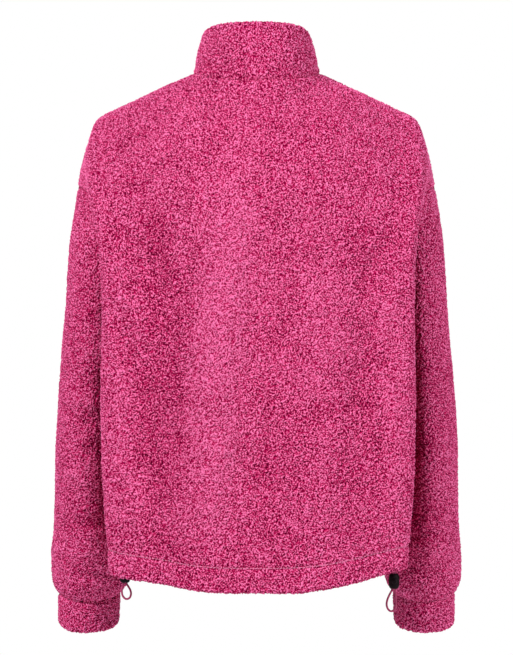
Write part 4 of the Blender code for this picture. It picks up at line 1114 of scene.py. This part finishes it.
def knit_ground():
    """Knitted polyester ground, the smooth side of the fleece: fine rows of stitches, dull."""

    def stitches(tree, place):
        waves = []
        for direction, pitch in (("Z", 2.2), ("DIAGONAL", 2.0)):
            band = {"Vector": place, "Scale": WAVE_PITCH / (pitch * MM), "Distortion": 1.5, "Detail": 1.0}
            waves.append(add_node(tree, "ShaderNodeTexWave", band, bands_direction=direction))
        rows, loops = (wave.outputs["Fac"] for wave in waves)
        return add_node(tree, "ShaderNodeMath", {0: rows, 1: loops}, operation="MULTIPLY")

    stops = ((0.0, "#8e0f4b"), (0.6, "#b72563"), (1.0, "#cd437c"))
    return patterned("knit_ground", stitches, stops, 0.3, 0.6, Roughness=0.85, IOR=1.5, Sheen_Weight=0.1)


def woven_tape():
    """Woven polyester zip tape: a fine herringbone, dull."""

    def weave(tree, place):
        band = {"Vector": place, "Scale": WAVE_PITCH / MM, "Distortion": 0.4, "Detail": 0.0}
        return add_node(tree, "ShaderNodeTexWave", band, bands_direction="DIAGONAL").outputs["Fac"]

    stops = ((0.0, "#7c0a41"), (1.0, "#b32a64"))
    return patterned("woven_tape", weave, stops, 0.2, 0.6, Roughness=0.75, IOR=1.5, Sheen_Weight=0.2)


def braided_cord():
    """Braided polyester cord: strands that cross on the slant, with a slight gloss."""

    def strands(tree, place):
        waves = []
        for slant in (45.0, -45.0):
            lay = {"Vector": place, "Rotation": (0.0, math.radians(slant), 0.0)}
            laid = add_node(tree, "ShaderNodeMapping", lay)
            band = {"Vector": laid, "Scale": WAVE_PITCH / MM, "Distortion": 0.3, "Detail": 0.0}
            waves.append(add_node(tree, "ShaderNodeTexWave", band, bands_direction="X"))
        one_way, other_way = (wave.outputs["Fac"] for wave in waves)
        return add_node(tree, "ShaderNodeMath", {0: one_way, 1: other_way}, operation="MAXIMUM")

    stops = ((0.2, "#7a0c40"), (1.0, "#b82465"))
    return patterned("braided_cord", strands, stops, 0.4, 0.8, Roughness=0.6, IOR=1.5, Sheen_Weight=0.2)


def plain_finish(name, grain, dark, light, depth, **values):
    """A finish whose colour and surface vary a little, with a grain of that size in millimetres."""

    def speckle(tree, place):
        grains = {"Vector": place, "Scale": 1 / (grain * MM), "Detail": 4.0}
        return add_node(tree, "ShaderNodeTexNoise", grains).outputs["Fac"]

    return patterned(name, speckle, ((0.3, dark), (0.7, light)), depth, 0.5, **values)


# ---------------------------------------------------------------- pieces


def declare(node, piles):
    """Hides the solid that a panel stands for."""
    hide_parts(node)


def add_body(skins):
    heights = body_heights()
    for name, skin in skins.items():
        wall = np.where(heights < HEM_DEPTH, HEM_WALL, WALL)
        depths = np.where(heights < TURNED_PILE + HEM_WALL, GROUND_OUT + GROUND_THIN, wall)
        seams = {"back": ("first", "last"), "front_left": ("last",), "front_right": ("first",)}[name]
        free = {"back": (), "front_left": ("first",), "front_right": ("last",)}[name]
        ground = ground_piece(name + "_ground", skin, depths, short=("foot", *free))
        pile = sewn(skin, "top", *seams)
        for edge in free:
            pile = turned(pile, edge, Rim(WALL, 0.0))
        pile = turned(pile, "foot", Rim(HEM_WALL, TURNED_PILE))
        for edge in seams:
            pile = tucked(pile, edge, under_side_seams)
        pile = tucked(pile, "top", under_top_seams)
        # The back's pile is in two pieces, because each piece may have only so many triangles.
        parts = {"_pile": slice(None)}
        if name == "back":
            middle = pile.points.shape[1] // 2
            parts = {"_pile_left": slice(0, middle + 1), "_pile_right": slice(middle, None)}
        piles = [pile_piece(name + end, Skin(*(part[:, run] for part in pile))) for end, run in parts.items()]
        declare(name, piles)


def add_tube(node, skin, depths, pile, short=()):
    """A sleeve or a cuff, which are closed all round: its ground and its pile."""
    way_round = {"closed": True, "flip": node.endswith("left")}
    ground = ground_piece(node + "_ground", skin, depths, short=short, **way_round)
    declare(node, [pile_piece(node + "_pile", pile, **way_round)])


def add_sleeve(hand):
    skin = sleeve_skin(SIDES[hand])
    pile = tucked(sewn(sewn(skin, "foot"), "top", pull=CUFF_SEAM_PULL), "foot", under_side_seams)
    add_tube("sleeve_" + hand, skin, np.full(len(skin.points), WALL), tucked(pile, "top", to_middle))


def add_cuff(hand):
    skin = cuff_skin(SIDES[hand])
    down = np.linspace(0, CUFF_HEIGHT, len(skin.points))
    depths = np.where(CUFF_HEIGHT - down < TURNED_PILE + WALL, GROUND_OUT + GROUND_THIN, WALL)
    pile = turned(sewn(skin, "foot", pull=CUFF_SEAM_PULL), "top", Rim(WALL, TURNED_PILE))
    add_tube("cuff_" + hand, skin, depths, tucked(pile, "foot", to_middle), short=("top",))


def add_collar(skin):
    depths = np.full(len(skin.points), GROUND_OUT + GROUND_THIN)
    ground = ground_piece("collar_ground", skin, depths, short=("top", "first", "last"))
    pile = sewn(skin, "foot")
    for edge in ("first", "last"):
        pile = turned(pile, edge, Rim(WALL, 0.0))
    pile = turned(pile, "top", Rim(WALL, COLLAR_BACK_HEIGHT - WALL))
    declare("collar", [pile_piece("collar_pile", tucked(pile, "foot", under_top_seams))])


def zip_edge(front, collar, side):
    """Where one front edge of the cloth lies inside, hem to collar top, and the way to the side seam."""
    column = -1 if side > 0 else 0
    next_column = -1 - GROUND_EVERY if side > 0 else GROUND_EVERY
    heights = body_heights()
    hem = HEM_WALL - (HEM_WALL - WALL) * smoothstep(HEM_DEPTH - WALL, HEM_DEPTH + WALL, heights)
    parts = []
    for skin, wall in ((front, hem), (collar, np.full(len(collar.points), WALL))):
        inner = skin.points - skin.normals * wall[:, None, None]
        parts.append((inner[:, column], unit(inner[:, next_column] - inner[:, column])))
    edge, along = (np.concatenate(pair)[::TAPE_EVERY] for pair in zip(*parts))
    edge[:, 0] = side * ZIP_HALF_GAP
    return edge, along


def zip_facing(line):
    """The way out of the jacket at each point of the zip."""
    run = np.gradient(line, axis=0)
    return unit(np.stack([0 * run[:, 0], run[:, 2], -run[:, 1]], axis=-1))


def add_tape(hand, edge, facing, along):
    """One side's woven tape, behind the front's edge and its coil. edge: where the cloth lies on it."""
    side = SIDES[hand]
    bead = edge.copy()
    bead[:, 0] = side * (TEETH_HALF_WIDTH + SEAM_GAP)
    columns = []
    for from_middle, back in TAPE_BEHIND_COIL:
        strip = edge - facing * back
        strip[:, 0] = side * from_middle
        columns.append(strip)
    columns += [bead, (bead + edge) / 2, edge]
    columns += [edge + along * TAPE_UNDER * share for share in TAPE_UNDER_SHARES]
    outer = np.stack(columns[:: -1 if side > 0 else 1], axis=1)
    inner = outer - facing[:, None] * TAPE_THICKNESS
    node = "zip_tape_" + hand
    name = node + "_woven"
    tape = add_piece(name, shell(name, outer, inner), WOVEN_TAPE, node)


def add_coil(hand, middle, facing):
    """One side's coil of nylon wire, wound round its core. middle: the line of the tape's middle."""
    side = SIDES[hand]
    node = "zip_chain_" + hand
    low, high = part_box(node)
    run = run_along(middle[:, 1:])
    start, end = np.interp((low.z / MM, high.z / MM), middle[:, 2], run)
    turns = (end - start - 2 * COIL_WIRE) / COIL_PITCH
    at = np.linspace(start + COIL_WIRE, end - COIL_WIRE, round(turns * COIL_POINTS) + 1)
    # The left coil is half a turn on, so that its turns lie between those of the right one.
    angle = (at - start) / COIL_PITCH * 2 * math.pi + (math.pi if side < 0 else 0)
    centre = points_at(at, run, middle)
    centre[:, 0] = side * (COIL_CENTRE - COIL_HALF_WIDTH * np.cos(angle))
    wire = centre + points_at(at, run, facing) * (COIL_HALF_DEPTH * np.sin(angle))[:, None]
    centre[:, 0] = side * COIL_CENTRE
    core = tube_points(centre[::CORE_EVERY], CORE_RADIUS, CORE_SIDES, (1, 0, 0))
    core[..., 0] = side * COIL_CENTRE + (core[..., 0] - side * COIL_CENTRE) * CORE_WIDER
    name = node + "_coil"
    both = (tube_points(wire, COIL_WIRE, COIL_SIDES, (0, 0, 1)), core)
    add_piece(name, joined_tubes(name, both), NYLON, node)


def add_zip_side(front, collar, hand):
    """One side of the zip: the tape behind the front's edge, and the coil that is sewn along it."""
    line, along = zip_edge(front, collar, SIDES[hand])
    facing = zip_facing(line)
    edge = line - facing * SEAM_GAP
    add_tape(hand, edge, facing, along)
    add_coil(hand, edge - facing * TAPE_THICKNESS / 2, facing)


def finish_metal():
    """The slider, its pull tab and the box keep their solids, with worn edges and their own finish."""
    for name in ("zip_slider", "zip_pull", "zip_box"):
        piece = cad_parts[name]
        piece.data.materials.clear()
        piece.data.materials.append(NICKEL_PLATE)
        worn = piece.modifiers.new("worn_edges", "BEVEL")
        worn.width = METAL_EDGE * MM
        worn.segments = 3
        worn.limit_method = "ANGLE"
        worn.angle_limit = math.radians(40)


def add_cord(hand):
    """A free end of the drawcord, with its lock and the lock's button."""
    hole = np.array(CORD_HOLES[hand])
    route = np.array([(x, 0, z) for x, z in CORD_ROUTES[hand]], float)
    stations = run_along(route)
    at = np.linspace(0, stations[-1], CORD_POINTS)
    line = (hole + smooth_rows(stations, route[:, None], at)[:, 0]) * MM
    name = "cord_" + hand
    curve = bpy.data.curves.new(name + "_braid", "CURVE")
    curve.dimensions = "3D"
    curve.bevel_depth = CORD_DIAMETER / 2 * MM
    curve.bevel_resolution = 4
    curve.use_fill_caps = True
    spline = curve.splines.new("POLY")
    spline.points.add(CORD_POINTS - 1)
    for target, point in zip(spline.points, line.tolist()):
        target.co = (*point, 1)
    cord = add_piece(name + "_braid", curve, BRAIDED_CORD, name)
    add_lock(hand)


def add_lock(hand):
    """The barrel that grips the cord, and its button. Returns both."""
    height = np.linspace(0, LOCK_HEIGHT, LOCK_STEPS + 1)
    radius = np.interp(height, *np.array(LOCK_SHAPE).T)
    start, end = LOCK_RINGS
    in_grip = (height > start) & (height < end)
    ringed = np.sin((height - start) / LOCK_RING_PITCH * math.pi) ** 2
    radius = radius - np.where(in_grip, LOCK_RING_DEPTH * ringed, 0)
    points, faces = turned_shape(zip(height, radius), LOCK_SIDES, LOCK_BORE)
    node = "cord_lock_" + hand
    low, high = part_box(node)
    foot = np.array(((low.x + high.x) / 2, (low.y + high.y) / 2, low.z)) / MM
    mesh = mesh_from(node + "_barrel", points + foot, faces)
    barrel = add_piece(node + "_barrel", mesh, MOULDED_PLASTIC, node)

    points, faces = turned_shape(BUTTON_SHAPE, LOCK_SIDES)
    # It faces the back, so its own height is -Y.
    points = np.stack([points[:, 0], -points[:, 2], points[:, 1]], axis=-1)
    node = "cord_button_" + hand
    low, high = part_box(node)
    foot = np.array(((low.x + high.x) / 2, high.y, (low.z + high.z) / 2)) / MM
    mesh = mesh_from(node + "_cap", points + foot, faces)
    return [barrel, add_piece(node + "_cap", mesh, MOULDED_PLASTIC, node)]


def add_hem_stitching(skins):
    """The row of stitches that holds the hem up: short threads in the trough that they pull in."""
    row = round(HEM_DEPTH / PILE_STEP)
    shares = np.array(STITCH_SHARES)
    thickness = STITCH_RADIUS * np.array(STITCH_TAPER)
    dip = STITCH_DIP * (2 * shares - 1) ** 2
    threads = []
    for skin in skins.values():
        line = skin.points[row] + skin.normals[row] * STITCH_ABOVE
        run = run_along(line)
        for start in np.arange(STITCH_PITCH, run[-1] - STITCH_PITCH, STITCH_PITCH):
            at = start + shares * STITCH_LENGTH
            thread = points_at(at, run, line) - points_at(at, run, skin.normals[row]) * dip[:, None]
            threads.append(tube_points(thread, thickness, STITCH_SIDES, (0, 0, 1)))
    add_piece("hem_stitches", joined_tubes("hem_stitches", threads), SEWING_THREAD)


# ---------------------------------------------------------------- stage


Light = namedtuple("Light", "name place target size power")
LIGHTS = (
    Light("key", (-2.1, -2.2, 1.9), (0, 0, -0.25), 0.9, 160),
    Light("fill", (2.5, -1.4, 0.8), (0, 0, -0.3), 1.0, 70),
    Light("behind", (0.7, 2.4, 1.0), (0, 0, -0.3), 1.4, 40),
)


def add_lights():
    for light in LIGHTS:
        data = bpy.data.lights.new(light.name, "AREA")
        data.shape = "DISK"
        data.size = light.size
        data.energy = light.power
        lamp = new_object(light.name, data)
        lamp.location = light.place
        way = Vector(light.target) - Vector(light.place)
        lamp.rotation_euler = way.to_track_quat("-Z", "Y").to_euler()


CAMERA_DISTANCE = 3.0
CAMERA_HEIGHT = -0.303
PHOTO_HEIGHT = 655  # pixels
METRES_TO_A_PIXEL = 0.00125
SENSOR = 36.0


def add_camera():
    """The photo's view: level, straight at the back, from far enough that the sides hardly turn away."""
    data = bpy.data.cameras.new("camera")
    data.sensor_width = SENSOR
    data.lens = SENSOR * CAMERA_DISTANCE / (PHOTO_HEIGHT * METRES_TO_A_PIXEL)
    camera = new_object("camera", data)
    camera.location = (0, -CAMERA_DISTANCE, CAMERA_HEIGHT)
    camera.rotation_euler = (math.radians(90), 0, 0)
    bpy.context.scene.camera = camera


FLOOR_Z = -1.0
FLOOR_RADIUS = 1.65
STUDIO_STRENGTH = 0.05
BACKDROP_STRENGTH = 1.0


def add_floor():
    shape = bmesh.new()
    bmesh.ops.create_circle(shape, cap_ends=True, segments=96, radius=FLOOR_RADIUS)
    mesh = bpy.data.meshes.new("floor")
    shape.to_mesh(mesh)
    shape.free()
    material = new_material("pale_floor", Roughness=0.8, Base_Color=linear("#f2f2f2"))[0]
    floor = new_object("floor", mesh, material)
    floor.location = (0, 0, FLOOR_Z)


def add_world():
    """Even studio light from all round, before a white backdrop."""
    world = bpy.data.worlds.new("studio")
    bpy.context.scene.world = world
    world.use_nodes = True
    tree = world.node_tree
    tree.nodes.clear()
    light, white = (
        add_node(tree, "ShaderNodeBackground", {"Color": linear("#ffffff"), "Strength": strength})
        for strength in (STUDIO_STRENGTH, BACKDROP_STRENGTH)
    )
    seen = add_node(tree, "ShaderNodeLightPath").outputs["Is Camera Ray"]
    mixed = add_node(tree, "ShaderNodeMixShader", {0: seen, 1: light, 2: white})
    add_node(tree, "ShaderNodeOutputWorld", {"Surface": mixed})
    # Plain sRGB, so that the white backdrop and the fleece's strong pink come out as the photo has them.
    bpy.context.scene.view_settings.view_transform = "Standard"


add_camera()
BRAIDED_CORD = braided_cord()
MOULDED_PLASTIC = plain_finish(
    "moulded_plastic", 0.9, "#0a0206", "#16060d", 0.05, Roughness=0.6, Specular_IOR_Level=0.12
)
for hand in ("left", "right"):
    add_cord(hand)

RAISE_CURLS = raise_curls()
SHERPA_PILE = sherpa_pile()
KNIT_GROUND = knit_ground()
WOVEN_TAPE = woven_tape()
NYLON = plain_finish("drawn_nylon_coil", 0.7, "#8d1149", "#b92a68", 0.04, Roughness=0.36, IOR=1.53)
NICKEL_PLATE = plain_finish(
    "satin_nickel_plate", 0.5, "#9a9a9c", "#b6b6b8", 0.02, Roughness=0.34, Metallic=1.0
)
SEWING_THREAD = plain_finish("spun_polyester_thread", 0.4, "#d873a3", "#f79fc6", 0.08, Roughness=0.7, IOR=1.5)

body = body_skins()
collar = collar_skin()
add_body(body)
for hand in SIDES:
    add_sleeve(hand)
    add_cuff(hand)
    add_zip_side(body["front_" + hand], collar, hand)
add_collar(collar)
finish_metal()
add_hem_stitching(body)

add_world()
add_lights()
add_floor()
